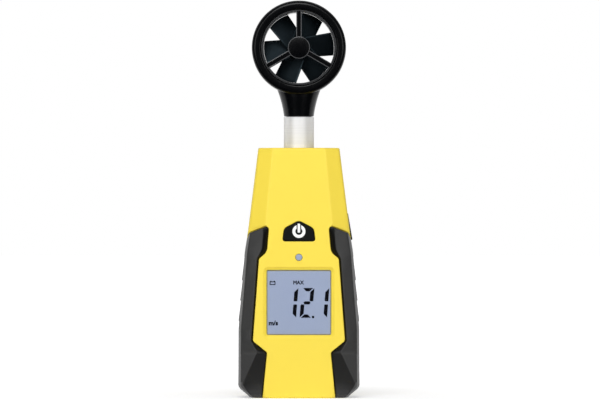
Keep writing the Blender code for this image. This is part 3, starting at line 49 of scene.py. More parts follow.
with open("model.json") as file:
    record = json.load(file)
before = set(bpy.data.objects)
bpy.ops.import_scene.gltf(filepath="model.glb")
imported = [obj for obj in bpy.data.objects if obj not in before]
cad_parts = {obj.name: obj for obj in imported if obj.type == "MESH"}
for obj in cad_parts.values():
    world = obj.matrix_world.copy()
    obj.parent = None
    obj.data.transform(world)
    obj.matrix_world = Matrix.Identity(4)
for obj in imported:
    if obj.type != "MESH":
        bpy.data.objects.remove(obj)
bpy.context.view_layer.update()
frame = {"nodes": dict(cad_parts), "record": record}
NODES = frame["nodes"]

FRONT = Vector((0.0, -1.0, 0.0))
REAR = Vector((0.0, 1.0, 0.0))
UP = Vector((0.0, 0.0, 1.0))
MERGE = 0.000002
OVERLAP = 0.0003
SHARP = math.radians(38.0)

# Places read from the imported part
case_low, case_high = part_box("front_shell")
rear_low, rear_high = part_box("rear_shell")
pane_low, pane_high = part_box("display_window")
lcd_low, lcd_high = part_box("lcd_glass")
lens_low, lens_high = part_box("status_lens")
key_low, key_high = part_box("power_button")
side_low, side_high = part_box("side_button")
door_low, door_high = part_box("battery_door")
stem_low, stem_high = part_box("stem_tube")
ring_low, ring_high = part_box("head_front_shell")
spider_low, spider_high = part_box("front_spider")
fan_low, fan_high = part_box("impeller")
cell_low, cell_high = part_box("battery")

FRONT_Y = case_low.y
REAR_Y = rear_high.y
BODY_TOP = case_high.z
RING_RADIUS = ring_high.x
RING_Z = ring_high.z - RING_RADIUS
RING_DEPTH = -ring_low.y

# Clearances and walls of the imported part
FIT_GAP = 0.0002
KEY_GAP = 0.00025
SPLIT = 0.00003
WALL = 0.0020

# Case outline as (height, half width), base upwards
OUTER_EDGE = (
    (0.0, 0.0204),
    (0.0044, 0.0260),
    (0.0295, 0.0259),
    (0.0625, 0.0232),
    (0.0705, 0.0219),
    (BODY_TOP, 0.01735),
)
# Edge between the yellow panel and the grips
INNER_EDGE = (
    (0.0, 0.0157),
    (0.0196, 0.01375),
    (0.0245, 0.01985),
    (0.0597, 0.0172),
    (0.0618, 0.0145),
    (0.0637, 0.0137),
    (0.0733, 0.0129),
)
# Width of the sloping rim along that edge
RIM_WIDTH = (
    (0.0, 0.0041),
    (0.0060, 0.0090),
    (0.0196, 0.0041),
    (0.0245, 0.0007),
    (0.0597, 0.0007),
    (0.0618, 0.0023),
    (0.0733, 0.0023),
)
# Edge of the flat front face
FACET_EDGE = (
    (0.0, 0.01375),
    (0.0245, 0.01985),
    (0.0597, 0.0177),
    (0.0722, 0.01438),
    (BODY_TOP, 0.0111),
)
FACET_FALL = 0.0042
REAR_CHAMFER = 0.0045

# Grip sections
GRIP_PEAK = 0.0737
GRIP_PROUD = 0.0004
GRIP_BASE = 0.00025
# Sloping foot of the grips, as (inset, rise) from the floor upwards
GRIP_FOOT = ((0.0009, 0.0), (0.0001, 0.0012), (0.0, 0.0014))
EDGE_DROP = 0.0012
FACE_FALL = 0.0020
STRIP = 0.0011
SHOULDER_FALL = 0.0076
SEAT_DEPTH = 0.0031
SEAT_FALL = 0.0027
GRIP_SIDE = 0.0016
REAR_WIDTH = 0.0046
NOTCH_HALF_DEPTH = 0.0050
NOTCH_BELOW_KEY = 0.0020
RIDGE_BASE = 0.0328
RIDGE_PITCH = 0.0088
RIDGE_LENGTH = 0.0080
RIDGE_HALF_DEPTH = 0.0068

SIDE_KEY_TOP_LAP = 0.0010
SIDE_KEY_LENGTH = 0.0117
notch_floor = side_high.z - SIDE_KEY_TOP_LAP - SIDE_KEY_LENGTH - NOTCH_BELOW_KEY
front_depth = -FRONT_Y
grip_front = front_depth + GRIP_PROUD
grip_rear = REAR_Y - OVERLAP
front_seat = front_depth - SEAT_DEPTH
rear_seat = REAR_Y - SEAT_DEPTH - GRIP_PROUD
front_inner = FRONT_Y + WALL
rear_inner = REAR_Y - WALL


# Settings


class CaseSettings(PropertyGroup):
    """Case, grips and keys."""

    yellow: FloatVectorProperty(
        name="Case colour",
        description="Moulded case",
        subtype="COLOR",
        size=3,
        min=0.0,
        max=1.0,
        default=(0.955, 0.740, 0.072),
    )
    grip: FloatVectorProperty(
        name="Grip colour",
        description="Rubber of the side grips",
        subtype="COLOR",
        size=3,
        min=0.0,
        max=1.0,
        default=(0.034, 0.034, 0.034),
    )
    key: FloatVectorProperty(
        name="Key colour",
        description="Front and side keys",
        subtype="COLOR",
        size=3,
        min=0.0,
        max=1.0,
        default=(0.005, 0.006, 0.006),
    )
    facet_round: FloatProperty(
        name="Facet rounding",
        description="Softness of the long edges of the front face",
        unit="LENGTH",
        default=0.0006,
    )
    side_round: FloatProperty(
        name="Side rounding",
        description="Softness of the edges along the sides",
        unit="LENGTH",
        default=0.0012,
    )
    end_round: FloatProperty(
        name="Top rounding",
        description="Rounding of the case's top edge",
        unit="LENGTH",
        default=0.0007,
    )
    edge_soft: FloatProperty(
        name="Opening rounding",
        description="Rounding of the edges round openings",
        unit="LENGTH",
        default=0.00015,
    )
    ridge: FloatProperty(
        name="Finger ridge",
        description="Height of the finger ridges",
        unit="LENGTH",
        default=0.0003,
    )
    window_corner: FloatProperty(
        name="Window corner",
        description="Corner rounding of the display window",
        unit="LENGTH",
        default=0.0009,
    )
    window_slope: FloatProperty(
        name="Window slope",
        description="Width of the sloped frame round the window",
        unit="LENGTH",
        default=0.0014,
    )
    key_corner: FloatProperty(
        name="Key corner",
        description="Corner rounding of the front key",
        unit="LENGTH",
        default=0.0013,
    )


class DisplaySettings(PropertyGroup):
    """Display and what it reads."""

    glass: FloatVectorProperty(
        name="Display colour",
        description="Ground of the display",
        subtype="COLOR",
        size=3,
        min=0.0,
        max=1.0,
        default=(0.332, 0.394, 0.556),
    )
    ink: FloatVectorProperty(
        name="Segment colour",
        description="Segments that are switched on",
        subtype="COLOR",
        size=3,
        min=0.0,
        max=1.0,
        default=(0.002, 0.002, 0.004),
    )
    digit_height: FloatProperty(
        name="Digit height",
        description="Height of the large digits",
        unit="LENGTH",
        default=0.0127,
    )
    digit_width: FloatProperty(
        name="Digit width",
        description="Distance between the two columns of a digit",
        unit="LENGTH",
        default=0.0037,
    )
    stroke: FloatProperty(
        name="Segment width",
        description="Width of a segment",
        unit="LENGTH",
        default=0.0016,
    )
    slant: FloatProperty(
        name="Digit slant",
        description="Lean of the digits",
        subtype="ANGLE",
        default=math.radians(4.5),
    )


class HeadSettings(PropertyGroup):
    """Stem, ring and fan."""

    black: FloatVectorProperty(
        name="Ring colour",
        description="Ring, neck and spokes",
        subtype="COLOR",
        size=3,
        min=0.0,
        max=1.0,
        default=(0.0016, 0.0018, 0.0024),
    )
    fan: FloatVectorProperty(
        name="Fan colour",
        description="Hub and blades of the fan",
        subtype="COLOR",
        size=3,
        min=0.0,
        max=1.0,
        default=(0.0025, 0.0035, 0.0050),
    )
    steel: FloatVectorProperty(
        name="Stem colour",
        description="Metal of the stem",
        subtype="COLOR",
        size=3,
        min=0.0,
        max=1.0,
        default=(0.920, 0.923, 0.935),
    )
    outer_round: FloatProperty(
        name="Ring rounding",
        description="Rounding of the ring's outer edge",
        unit="LENGTH",
        default=0.0018,
    )
    lip_round: FloatProperty(
        name="Lip rounding",
        description="Rounding of the ring's inner lip",
        unit="LENGTH",
        default=0.0006,
    )
    blades: IntProperty(name="Blades", description="Number of fan blades", min=2, default=6)
    pitch: FloatProperty(
        name="Blade pitch",
        description="Angle between a blade and the plane of the ring",
        subtype="ANGLE",
        default=math.radians(40.0),
    )
    phase: FloatProperty(
        name="Fan position",
        description="Angle of the first blade at rest",
        subtype="ANGLE",
        default=math.radians(7.0),
    )


class StageSettings(PropertyGroup):
    """Camera, floor and light."""

    distance: FloatProperty(
        name="Camera distance",
        description="From the camera to the front of the case",
        unit="LENGTH",
        default=2.4,
    )
    frame_width: FloatProperty(
        name="Picture width",
        description="Width of the picture at the front of the case",
        unit="LENGTH",
        default=0.2562,
    )
    aim_height: FloatProperty(
        name="Camera height",
        description="Height of the camera above the floor",
        unit="LENGTH",
        default=0.0847,
    )
    aim_side: FloatProperty(
        name="Camera offset",
        description="Sideways place of the camera",
        unit="LENGTH",
        default=0.00047,
    )
    key_power: FloatProperty(
        name="Main lamp",
        description="Power of the lamp above the camera",
        unit="POWER",
        default=12.6,
    )
    fill_power: FloatProperty(
        name="Side lamps",
        description="Power of each low lamp at the sides",
        unit="POWER",
        default=5.2,
    )
    ambient: FloatProperty(
        name="Surroundings",
        description="Level of the light from all round",
        default=0.36,
    )
    floor: FloatVectorProperty(
        name="Floor colour",
        description="Pale floor under the meter",
        subtype="COLOR",
        size=3,
        min=0.0,
        max=1.0,
        default=(0.90, 0.90, 0.90),
    )


# Shapes


def along(profile, z):
    """Value at height z of a run of straight lines given as (z, value) points."""
    if z <= profile[0][0]:
        return profile[0][1]
    for (z0, v0), (z1, v1) in zip(profile, profile[1:]):
        if z <= z1:
            return v0 + (v1 - v0) * (z - z0) / (z1 - z0)
    return profile[-1][1]


def eased(profile, z, reach):
    """The same run with its corners rounded over a reach to either side."""
    steps = (-1.0, -0.5, 0.0, 0.5, 1.0)
    return sum(along(profile, z + reach * k) for k in steps) / len(steps)


CORNER_TOP = 0.0735
CORNER_ROUND = 0.0016
RIM_FADE_LOW = 0.0685
RIM_FADE_HIGH = 0.0730
OUTER_EASE = 0.0012
INNER_EASE = 0.0006
FACET_EASE = 0.0020


def outer(z):
    return eased(OUTER_EDGE, z, OUTER_EASE)


def inner(z):
    """Edge between panel and grip, with a round corner at the grip's upper end."""
    over = min(max(z - (CORNER_TOP - CORNER_ROUND), 0.0), CORNER_ROUND * 0.98)
    turn_in = CORNER_ROUND - math.sqrt(CORNER_ROUND**2 - over**2)
    return eased(INNER_EDGE, z, INNER_EASE) + turn_in


def edge_drop(z):
    """Fall of the grip's rim at the panel; it fades out towards the upper end."""
    return along(((RIM_FADE_LOW, EDGE_DROP), (RIM_FADE_HIGH, SPLIT)), z)


def rear_edge(z):
    return outer(z) - REAR_WIDTH


# Heights where the round corner needs sections, as a profile for levels()
CORNER_RUN = tuple((CORNER_TOP - CORNER_ROUND * k / 6, 0.0) for k in range(7))


def levels(low, high, *profiles, ease=INNER_EASE):
    """Heights for a loft: closer together where a profile turns."""
    found = {low, high}
    for profile in profiles:
        for z, _ in profile:
            found |= {z + ease * k / 2 for k in range(-3, 4)}
    kept = [low]
    for z in sorted(found):
        if low < z < high and z - kept[-1] > ease / 4:
            kept.append(z)
    if high - kept[-1] < ease / 4:
        kept.pop()
    return kept + [high]


def rounded(corners, softness, steps=3):
    """Closed outline whose corners are drawn as short curves."""
    points = []
    count = len(corners)
    for i, corner in enumerate(corners):
        here = Vector(corner)
        back = Vector(corners[i - 1]) - here
        ahead = Vector(corners[(i + 1) % count]) - here
        soft = softness[i] if isinstance(softness, (list, tuple)) else softness
        reach = min(soft, 0.45 * back.length, 0.45 * ahead.length)
        start = here + back.normalized() * reach
        end = here + ahead.normalized() * reach
        for k in range(steps + 1):
            t = k / steps
            points.append(start * (1 - t) ** 2 + here * (2 * t * (1 - t)) + end * t * t)
    return points


def edge_steps(radius, steps=4):
    """(inset, rise) pairs of a quarter round, from the end face to the side."""
    turns = [math.pi / 2 * k / steps for k in range(steps + 1)]
    return [(radius * (1 - math.sin(t)), radius * (1 - math.cos(t))) for t in turns]


def closed_loop(bm, points):
    verts = [bm.verts.new(point) for point in points]
    return [bm.edges.new((verts[i - 1], verts[i])) for i in range(len(verts))]


def skin(bm, sections):
    """Bridge a run of closed sections and fill both ends."""
    loops = [closed_loop(bm, section) for section in sections]
    for lower, upper in zip(loops, loops[1:]):
        bmesh.ops.bridge_loops(bm, edges=lower + upper)
    for end in (loops[0], loops[-1]):
        bmesh.ops.contextual_create(bm, geom=end)


def box(bm, low, high):
    low = Vector(low)
    high = Vector(high)
    verts = bmesh.ops.create_cube(bm, size=1.0)["verts"]
    bmesh.ops.scale(bm, vec=high - low, verts=verts)
    bmesh.ops.translate(bm, vec=(low + high) / 2, verts=verts)
    return verts


def turned(bm, profile, centre, axis, steps):
    """Spin a (radius, height) profile that is closed or ends on the axis."""
    centre = Vector(centre)
    side = Vector((1.0, 0.0, 0.0))
    verts = [bm.verts.new(centre + side * r + axis * h) for r, h in profile]
    pairs = list(zip(verts, verts[1:]))
    if profile[0][0] > MERGE:
        pairs.append((verts[-1], verts[0]))
    edges = [bm.edges.new(pair) for pair in pairs]
    bmesh.ops.spin(
        bm,
        geom=verts + edges,
        cent=centre,
        axis=axis,
        angle=math.tau,
        steps=steps,
        use_merge=True,
    )
    bmesh.ops.remove_doubles(bm, verts=bm.verts[:], dist=MERGE)


def arc(centre, radius, start, end, steps):
    """Points of an arc in a (radius, height) section."""
    turns = [start + (end - start) * k / steps for k in range(steps + 1)]
    return [(centre[0] + radius * math.cos(t), centre[1] + radius * math.sin(t)) for t in turns]


def close_up(bm):
    bmesh.ops.remove_doubles(bm, verts=bm.verts[:], dist=MERGE)
    bmesh.ops.dissolve_degenerate(bm, dist=MERGE, edges=bm.edges[:])
    bmesh.ops.recalc_face_normals(bm, faces=bm.faces[:])


def as_object(name, bm):
    close_up(bm)
    mesh = bpy.data.meshes.new(name)
    bm.to_mesh(mesh)
    bm.free()
    obj = bpy.data.objects.new(name, mesh)
    bpy.context.scene.collection.objects.link(obj)
    return obj


def cutter(bm):
    return as_object("cutter", bm)


def carve(obj, steps):
    """Run Booleans on a piece and keep the result as its mesh."""
    for other, operation in steps:
        modifier = obj.modifiers.new("carve", "BOOLEAN")
        modifier.operation = operation
        modifier.solver = "EXACT"
        modifier.object = other
    graph = bpy.context.evaluated_depsgraph_get()
    made = bpy.data.meshes.new_from_object(obj.evaluated_get(graph))
    obj.modifiers.clear()
    spent = obj.data
    obj.data = made
    made.name = obj.name
    bpy.data.meshes.remove(spent)
    for other, _ in steps:
        bpy.data.objects.remove(other)


def soften(obj, width, angle=SHARP, segments=2):
    """Round every edge sharper than an angle."""
    bm = bmesh.new()
    bm.from_mesh(obj.data)
    close_up(bm)
    bmesh.ops.dissolve_limit(
        bm, angle_limit=math.radians(0.2), verts=bm.verts[:], edges=bm.edges[:]
    )
    turn = {e: e.calc_face_angle() for e in bm.edges if e.is_manifold}
    edges = [e for e in turn if angle < turn[e] < math.pi - SHARP / 10]
    bmesh.ops.bevel(
        bm,
        geom=edges,
        offset=width,
        affect="EDGES",
        segments=segments,
        profile=0.5,
        material=-1,
        clamp_overlap=False,
    )
    close_up(bm)
    bm.to_mesh(obj.data)
    bm.free()


FLAT_AREA = 0.000004
FLAT_TURN = math.radians(1.5)


def keep_flats(mesh):
    """Mark the borders of large faces so that their shading stays flat."""
    bm = bmesh.new()
    bm.from_mesh(mesh)
    for edge in bm.edges:
        if edge.is_manifold and edge.calc_face_angle() > FLAT_TURN:
            if max(face.calc_area() for face in edge.link_faces) > FLAT_AREA:
                edge.smooth = False
    bm.to_mesh(mesh)
    bm.free()


def fit_out(obj, body, nodes, material, sharp=SHARP):
    """Shade a piece, give it its finish and hang it on its body."""
    obj.data.shade_smooth()
    obj.data.set_sharp_from_angle(angle=sharp)
    keep_flats(obj.data)
    obj.data.materials.clear()
    obj.data.materials.append(material)
    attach(obj, body)
    if nodes:
        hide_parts(*nodes)
    return obj


# Finishes


class Finish:
    """Principled material with a pattern on Object coordinates."""

    def __init__(self, name):
        self.material = bpy.data.materials.new(name)
        self.material.use_nodes = True
        self.tree = self.material.node_tree
        self.shader = self.tree.nodes["Principled BSDF"]
        self.place = self.tree.nodes.new("ShaderNodeTexCoord").outputs["Object"]

    def node(self, kind, **inputs):
        made = self.tree.nodes.new(kind)
        for name, value in inputs.items():
            self.feed(made.inputs[name.replace("_", " ")], value)
        return made

    def feed(self, socket, value):
        if isinstance(value, bpy.types.NodeSocket):
            self.tree.links.new(value, socket)
        else:
            socket.default_value = value

    def set(self, **values):
        for name, value in values.items():
            self.feed(self.shader.inputs[name.replace("_", " ")], value)

    def stretched(self, scale):
        mapping = self.node("ShaderNodeMapping", Vector=self.place, Scale=scale)
        return mapping.outputs["Vector"]

    def noise(self, scale, detail=3.0, roughness=0.55, vector=None):
        made = self.node(
            "ShaderNodeTexNoise",
            Vector=vector or self.place,
            Scale=scale,
            Detail=detail,
            Roughness=roughness,
        )
        return made.outputs["Fac"]

    def ramp(self, value, stops):
        """Colours along a value, as (position, colour) stops."""
        made = self.node("ShaderNodeValToRGB", Fac=value)
        points = made.color_ramp.elements
        while len(points) < len(stops):
            points.new(1.0)
        for point, (position, colour) in zip(points, stops):
            point.position = position
            point.color = (*colour, 1.0)
        return made.outputs["Color"]

    def span(self, value, low, high):
        made = self.node("ShaderNodeMapRange", Value=value, To_Min=low, To_Max=high)
        return made.outputs["Result"]

    def added(self, value, share, base):
        """A share of one value on top of another."""
        made = self.node("ShaderNodeMath")
        made.operation = "MULTIPLY_ADD"
        for socket, part in zip(made.inputs, (value, share, base)):
            self.feed(socket, part)
        return made.outputs[0]

    def bump(self, height, distance, strength=1.0):
        made = self.node("ShaderNodeBump", Height=height, Distance=distance, Strength=strength)
        self.set(Normal=made.outputs["Normal"])


def shade(colour, factor):
    return tuple(min(1.0, part * factor) for part in colour)


WHITE = (1.0, 1.0, 1.0, 1.0)


def moulded(name, colour, roughness, tint, grain, grain_scale, gloss, cast=WHITE, index=1.5):
    """Moulded plastic or rubber: faint colour drift, fine grain and uneven gloss."""
    made = Finish(name)
    drift = made.noise(70.0, 4.0)
    made.set(
        Base_Color=made.ramp(
            drift, ((0.25, shade(colour, 1 - tint)), (0.75, shade(colour, 1 + tint)))
        ),
        Roughness=made.span(made.noise(420.0), roughness - 0.05, roughness + 0.05),
        Specular_IOR_Level=gloss,
        Specular_Tint=cast,
        IOR=index,
    )
    made.bump(made.noise(grain_scale, 2.0), grain)
    return made.material


def steel(name, colour, roughness, lay, metallic=1.0):
    """Metal with fine marks drawn along a direction."""
    made = Finish(name)
    marks = made.noise(1.0, 3.0, vector=made.stretched(lay))
    made.set(
        Base_Color=made.ramp(marks, ((0.3, shade(colour, 0.93)), (0.7, shade(colour, 1.03)))),
        Metallic=metallic,
        Roughness=made.span(marks, roughness - 0.06, roughness + 0.06),
        Specular_Tint=(0.30, 0.30, 0.31, 1.0),
    )
    made.bump(marks, 0.000004)
    return made.material


FINISHES = {}


def finish(slot):
    """Material of one of the record's slots, made when it is first asked for."""
    if slot not in FINISHES:
        FINISHES[slot] = MAKERS[slot](slot)
    return FINISHES[slot]


def settings():
    return bpy.context.scene


def case_yellow(name):
    return moulded(name, settings().meter_case.yellow, 0.42, 0.012, 0.000008, 3200.0, 0.4)


def grip_black(name):
    """Grained rubber; the painted shade attribute darkens the inner rims and lower facets, where shade
    falls.
    """
    made = Finish(name)
    colour = settings().meter_case.grip
    grain = made.noise(2400.0, 2.0)
    painted_shade = made.node("ShaderNodeAttribute")
    painted_shade.attribute_name = "painted_shade"
    level = made.added(made.noise(90.0, 4.0), 0.06, painted_shade.outputs["Fac"])
    made.set(
        Base_Color=made.ramp(
            level, ((0.0, shade(colour, 0.08)), (0.5, shade(colour, 0.5)), (1.0, colour))
        ),
        Roughness=made.span(painted_shade.outputs["Fac"], 0.35, 0.42),
        Specular_IOR_Level=0.35,
    )
    made.bump(grain, 0.000018)
    return made.material


# Height below which the painted shade on the grips' rims is lighter, on the lower facets
RIM_LOW_TOP = 0.0240


def mark_painted_shade(obj):
    """Attribute of painted shade on a grip: low on the inner rims and lower facets, where shade falls,
    and 1 on the other faces.
    """
    mesh = obj.data
    painted_shade = mesh.attributes.new("painted_shade", "FLOAT", "FACE")
    for face in mesh.polygons:
        spot = face.center
        rim = inner(spot.z) + eased(RIM_WIDTH, spot.z, INNER_EASE)
        # Painted shade: rim faces at the front get 0, and 0.14 on the lower facets; the foot and other
        # faces keep 1
        smooth = spot.y < 0.0 and abs(spot.x) < min(rim, outer(spot.z) - STRIP)
        grain = 0.14 if spot.z < RIM_LOW_TOP else 0.0
        foot = spot.z < GRIP_BASE + GRIP_FOOT[-1][1]
        painted_shade.data[face.index].value = grain if smooth and not foot else 1.0


def key_black(name):
    return moulded(name, settings().meter_case.key, 0.45, 0.08, 0.000010, 2600.0, 0.12)


# Painted highlight on the thin sloping edges of the guards, where light catches them, and how steep a
# face counts as such an edge
PAINTED_HIGHLIGHT_GREY = (0.078, 0.080, 0.084)
EDGE_SLOPE = (0.3, 0.99)


def head_black(name):
    """Smooth moulding; the painted highlight attribute greys the thin sloping edges of the guards."""
    made = Finish(name)
    colour = settings().meter_head.black
    edge = made.node("ShaderNodeAttribute")
    edge.attribute_name = "painted_edge_highlight"
    level = made.added(made.noise(70.0, 4.0), 0.1, edge.outputs["Fac"])
    made.set(
        Base_Color=made.ramp(
            level, ((0.02, shade(colour, 0.92)), (0.08, shade(colour, 1.08)), (1.0, PAINTED_HIGHLIGHT_GREY))
        ),
        Roughness=made.span(made.noise(420.0), 0.17, 0.27),
        Specular_IOR_Level=0.18,
    )
    made.bump(made.noise(2600.0), 0.000001)
    return made.material


def mark_painted_highlights(obj):
    """Attribute of painted highlight: 1 on the thin sloping edges of a guard, 0 on its other faces."""
    mesh = obj.data
    edge = mesh.attributes.new("painted_edge_highlight", "FLOAT", "FACE")
    for face in mesh.polygons:
        slope = abs(face.normal.y)
        edge.data[face.index].value = float(EDGE_SLOPE[0] < slope < EDGE_SLOPE[1])


def fan_black(name):
    return moulded(
        name, settings().meter_head.fan, 0.48, 0.08, 0.000002, 2600.0, 0.75, (0.6, 0.85, 1.0, 1.0), 1.7
    )


def stem_steel(name):
    return steel(name, settings().meter_head.steel, 0.50, (40.0, 40.0, 4000.0), 0.45)


def screw_steel(name):
    return steel(name, (0.46, 0.46, 0.47), 0.34, (2500.0, 60.0, 2500.0))


def pane_clear(name):
    made = Finish(name)
    haze = made.noise(900.0, 2.0)
    made.set(
        Base_Color=made.ramp(haze, ((0.3, (0.10, 0.11, 0.13)), (0.7, (0.13, 0.14, 0.16)))),
        Roughness=made.span(haze, 0.04, 0.10),
        Specular_IOR_Level=0.05,
        Alpha=0.015,
    )
    return made.material


# Painted shade: a dark line on the display along the window's edge, where the recess throws shade,
# measured from the middle of the window
PAINTED_WINDOW_SHADE_MIDDLE = 0.0140
PAINTED_WINDOW_SHADE_HALF = 0.0006
PAINTED_WINDOW_SHADE_TONE = (0.275, 0.270, 0.205)


def display_grey(name):
    """Display glass with a line of painted shade along the edge of the window, where the recess throws
    shade.
    """
    made = Finish(name)
    glass = settings().meter_display.glass
    middle = (0.0, 0.0, (pane_low.z + pane_high.z) / 2)
    place = made.node("ShaderNodeVectorMath")
    place.operation = "SUBTRACT"
    made.feed(place.inputs[0], made.place)
    made.feed(place.inputs[1], middle)
    inside = made.node("ShaderNodeVectorMath")
    inside.operation = "ABSOLUTE"
    made.feed(inside.inputs[0], place.outputs["Vector"])
    axes = made.node("ShaderNodeSeparateXYZ", Vector=inside.outputs["Vector"])
    reach = made.node("ShaderNodeMath")
    reach.operation = "MAXIMUM"
    made.feed(reach.inputs[0], axes.outputs["X"])
    made.feed(reach.inputs[1], axes.outputs["Z"])
    # Painted shade: 1 in a thin band along the window's edge
    painted_window_shade = made.node("ShaderNodeMath")
    painted_window_shade.operation = "COMPARE"
    for socket, value in zip(painted_window_shade.inputs, (reach.outputs[0], PAINTED_WINDOW_SHADE_MIDDLE, PAINTED_WINDOW_SHADE_HALF)):
        made.feed(socket, value)
    level = made.added(made.noise(120.0, 2.0), 0.5, painted_window_shade.outputs[0])
    stops = ((0.1, shade(glass, 0.985)), (0.4, shade(glass, 1.015)), (0.5, glass))
    made.set(
        Base_Color=made.ramp(level, stops + ((1.0, PAINTED_WINDOW_SHADE_TONE),)),
        Roughness=made.span(made.noise(1500.0), 0.30, 0.38),
        Specular_IOR_Level=0.15,
    )
    return made.material


def plain(colour, roughness, tint=0.05, grain=0.000010, scale=1800.0, gloss=0.4):
    return lambda name: moulded(name, colour, roughness, tint, grain, scale, gloss)


def board_green(name):
    """Solder mask over copper tracks."""
    made = Finish(name)
    tracks = made.node(
        "ShaderNodeTexBrick",
        Vector=made.stretched((1.0, 1.0, 1.0)),
        Color1=(0.016, 0.110, 0.045, 1.0),
        Color2=(0.020, 0.125, 0.055, 1.0),
        Mortar=(0.060, 0.240, 0.090, 1.0),
        Scale=220.0,
        Mortar_Size=0.03,
    )
    made.set(Base_Color=tracks.outputs["Color"], Roughness=0.35)
    made.bump(tracks.outputs["Fac"], 0.000020)
    return made.material


def cell_case(name):
    """Dark jacket with a copper band at the terminal end."""
    made = Finish(name)
    axes = made.node("ShaderNodeSeparateXYZ", Vector=made.place)
    height = made.node(
        "ShaderNodeMapRange",
        Value=axes.outputs["Z"],
        From_Min=cell_low.z,
        From_Max=cell_high.z,
    )
    made.set(
        Base_Color=made.ramp(
            height.outputs["Result"],
            (
                (0.0, (0.020, 0.024, 0.030)),
                (0.660, (0.022, 0.026, 0.032)),
                (0.665, (0.560, 0.270, 0.110)),
                (0.940, (0.600, 0.300, 0.130)),
                (0.945, (0.420, 0.420, 0.420)),
            ),
        ),
        Roughness=made.span(made.noise(300.0), 0.28, 0.38),
        Metallic=0.35,
    )
    return made.material


MAKERS = {
    "case_yellow": case_yellow,
    "grip_black": grip_black,
    "key_black": key_black,
    "head_black": head_black,
    "fan_black": fan_black,
    "stem_steel": stem_steel,
    "screw_steel": screw_steel,
    "pane_clear": pane_clear,
    "display_grey": display_grey,
    "board_green": board_green,
    "cell_case": cell_case,
    "carrier_white": plain((0.78, 0.78, 0.76), 0.45),
    "contact_rubber": plain((0.24, 0.23, 0.24), 0.70),
    "chip_black": plain((0.013, 0.013, 0.014), 0.45),
    "switch_grey": plain((0.18, 0.18, 0.185), 0.45),
    "plug_white": plain((0.75, 0.74, 0.70), 0.45),
    "cable_grey": plain((0.12, 0.12, 0.125), 0.55),
    "lead_red": plain((0.45, 0.015, 0.015), 0.45),
    "lead_black": plain((0.012, 0.012, 0.012), 0.45),
    "bush_white": plain((0.80, 0.80, 0.78), 0.45),
    "jewel_red": plain((0.32, 0.02, 0.04), 0.12),
}


# Case halves


def case_sections(front):
    """Closed sections of one case half, with soft edges and a rounded top."""
    look = settings().meter_case
    depth = front_depth if front else REAR_Y
    sign = -1.0 if front else 1.0
    run = [(rise, inset) for inset, rise in edge_steps(look.end_round)]
    heights = [(z, inset) for z, inset in run]
    for z in levels(look.end_round, BODY_TOP - look.end_round, OUTER_EDGE, FACET_EDGE)[1:-1]:
        heights.append((z, 0.0))
    heights += [(BODY_TOP - z, inset) for z, inset in reversed(run)]
    sections = []
    for z, inset in heights:
        half = outer(z) - inset
        if front:
            flat = min(eased(FACET_EDGE, z, FACET_EASE), half - OVERLAP) - inset
        else:
            flat = half - REAR_CHAMFER
        deep = depth - inset
        side = deep - FACET_FALL
        corners = [
            (half, SPLIT),
            (half, side),
            (flat, deep),
            (-flat, deep),
            (-half, side),
            (-half, SPLIT),
        ]
        soft = [MERGE * 20, look.side_round, look.facet_round]
        outline = rounded(corners, soft + soft[::-1])
        sections.append([(p.x, sign * p.y, z) for p in outline])
    return sections


def core_half(z):
    """Half width of the space inside the case."""
    low = outer(z) - GRIP_SIDE - FIT_GAP - WALL
    high = outer(z) - WALL - FIT_GAP
    return along(((notch_floor, low), (notch_floor + 0.005, high)), z)


def hollow(front):
    bm = bmesh.new()
    sections = []
    for z in levels(WALL, BODY_TOP - WALL, OUTER_EDGE, INNER_EDGE):
        wide = core_half(z)
        if front:
            narrow = min(inner(z), eased(FACET_EDGE, z, FACET_EASE)) - WALL - FIT_GAP
            step = front_seat - FIT_GAP - WALL
            deep = -front_inner
            sign = -1.0
        else:
            narrow = rear_edge(z) - WALL - FIT_GAP
            step = rear_seat - FIT_GAP - WALL
            deep = rear_inner
            sign = 1.0
        corners = [
            (wide, -WALL),
            (wide, step - SEAT_FALL),
            (narrow, step),
            (narrow, deep),
        ]
        corners += [(-x, y) for x, y in reversed(corners)]
        sections.append([(x, sign * y, z) for x, y in corners])
    skin(bm, sections)
    return cutter(bm)


def notch_prism(lift):
    """Space above the grips, raised by a clearance."""
    floor = notch_floor + lift
    slope = (GRIP_PEAK - notch_floor) / (grip_front - NOTCH_HALF_DEPTH)
    far = grip_front * 2
    high = floor + slope * (far - NOTCH_HALF_DEPTH)
    outline = [
        (-far, high),
        (-NOTCH_HALF_DEPTH, floor),
        (NOTCH_HALF_DEPTH, floor),
        (far, high),
        (far, high * 2),
        (-far, high * 2),
    ]
    bm = bmesh.new()
    wide = outer(0.0) * 3
    skin(bm, [[(x, y, z) for y, z in outline] for x in (-wide, wide)])
    return cutter(bm)


ROOF_SPOT = (0.0206, 0.07075)
ROOF_SLOPE = 0.395
ROOF_BACK = -0.0110
HEADROOM = 0.0014


def roof_prism(lift):
    """Space above the line that the grips' upper ends follow when seen from the front."""
    wide = outer(0.0) * 3
    low = ROOF_SPOT[1] + lift - ROOF_SLOPE * (wide - ROOF_SPOT[0])
    peak = ROOF_SPOT[1] + lift + ROOF_SLOPE * ROOF_SPOT[0]
    outline = [(-wide, low), (0.0, peak), (wide, low), (wide, peak * 2), (-wide, peak * 2)]
    bm = bmesh.new()
    skin(bm, [[(x, y, z) for x, z in outline] for y in (-grip_front * 2, ROOF_BACK)])
    return cutter(bm)


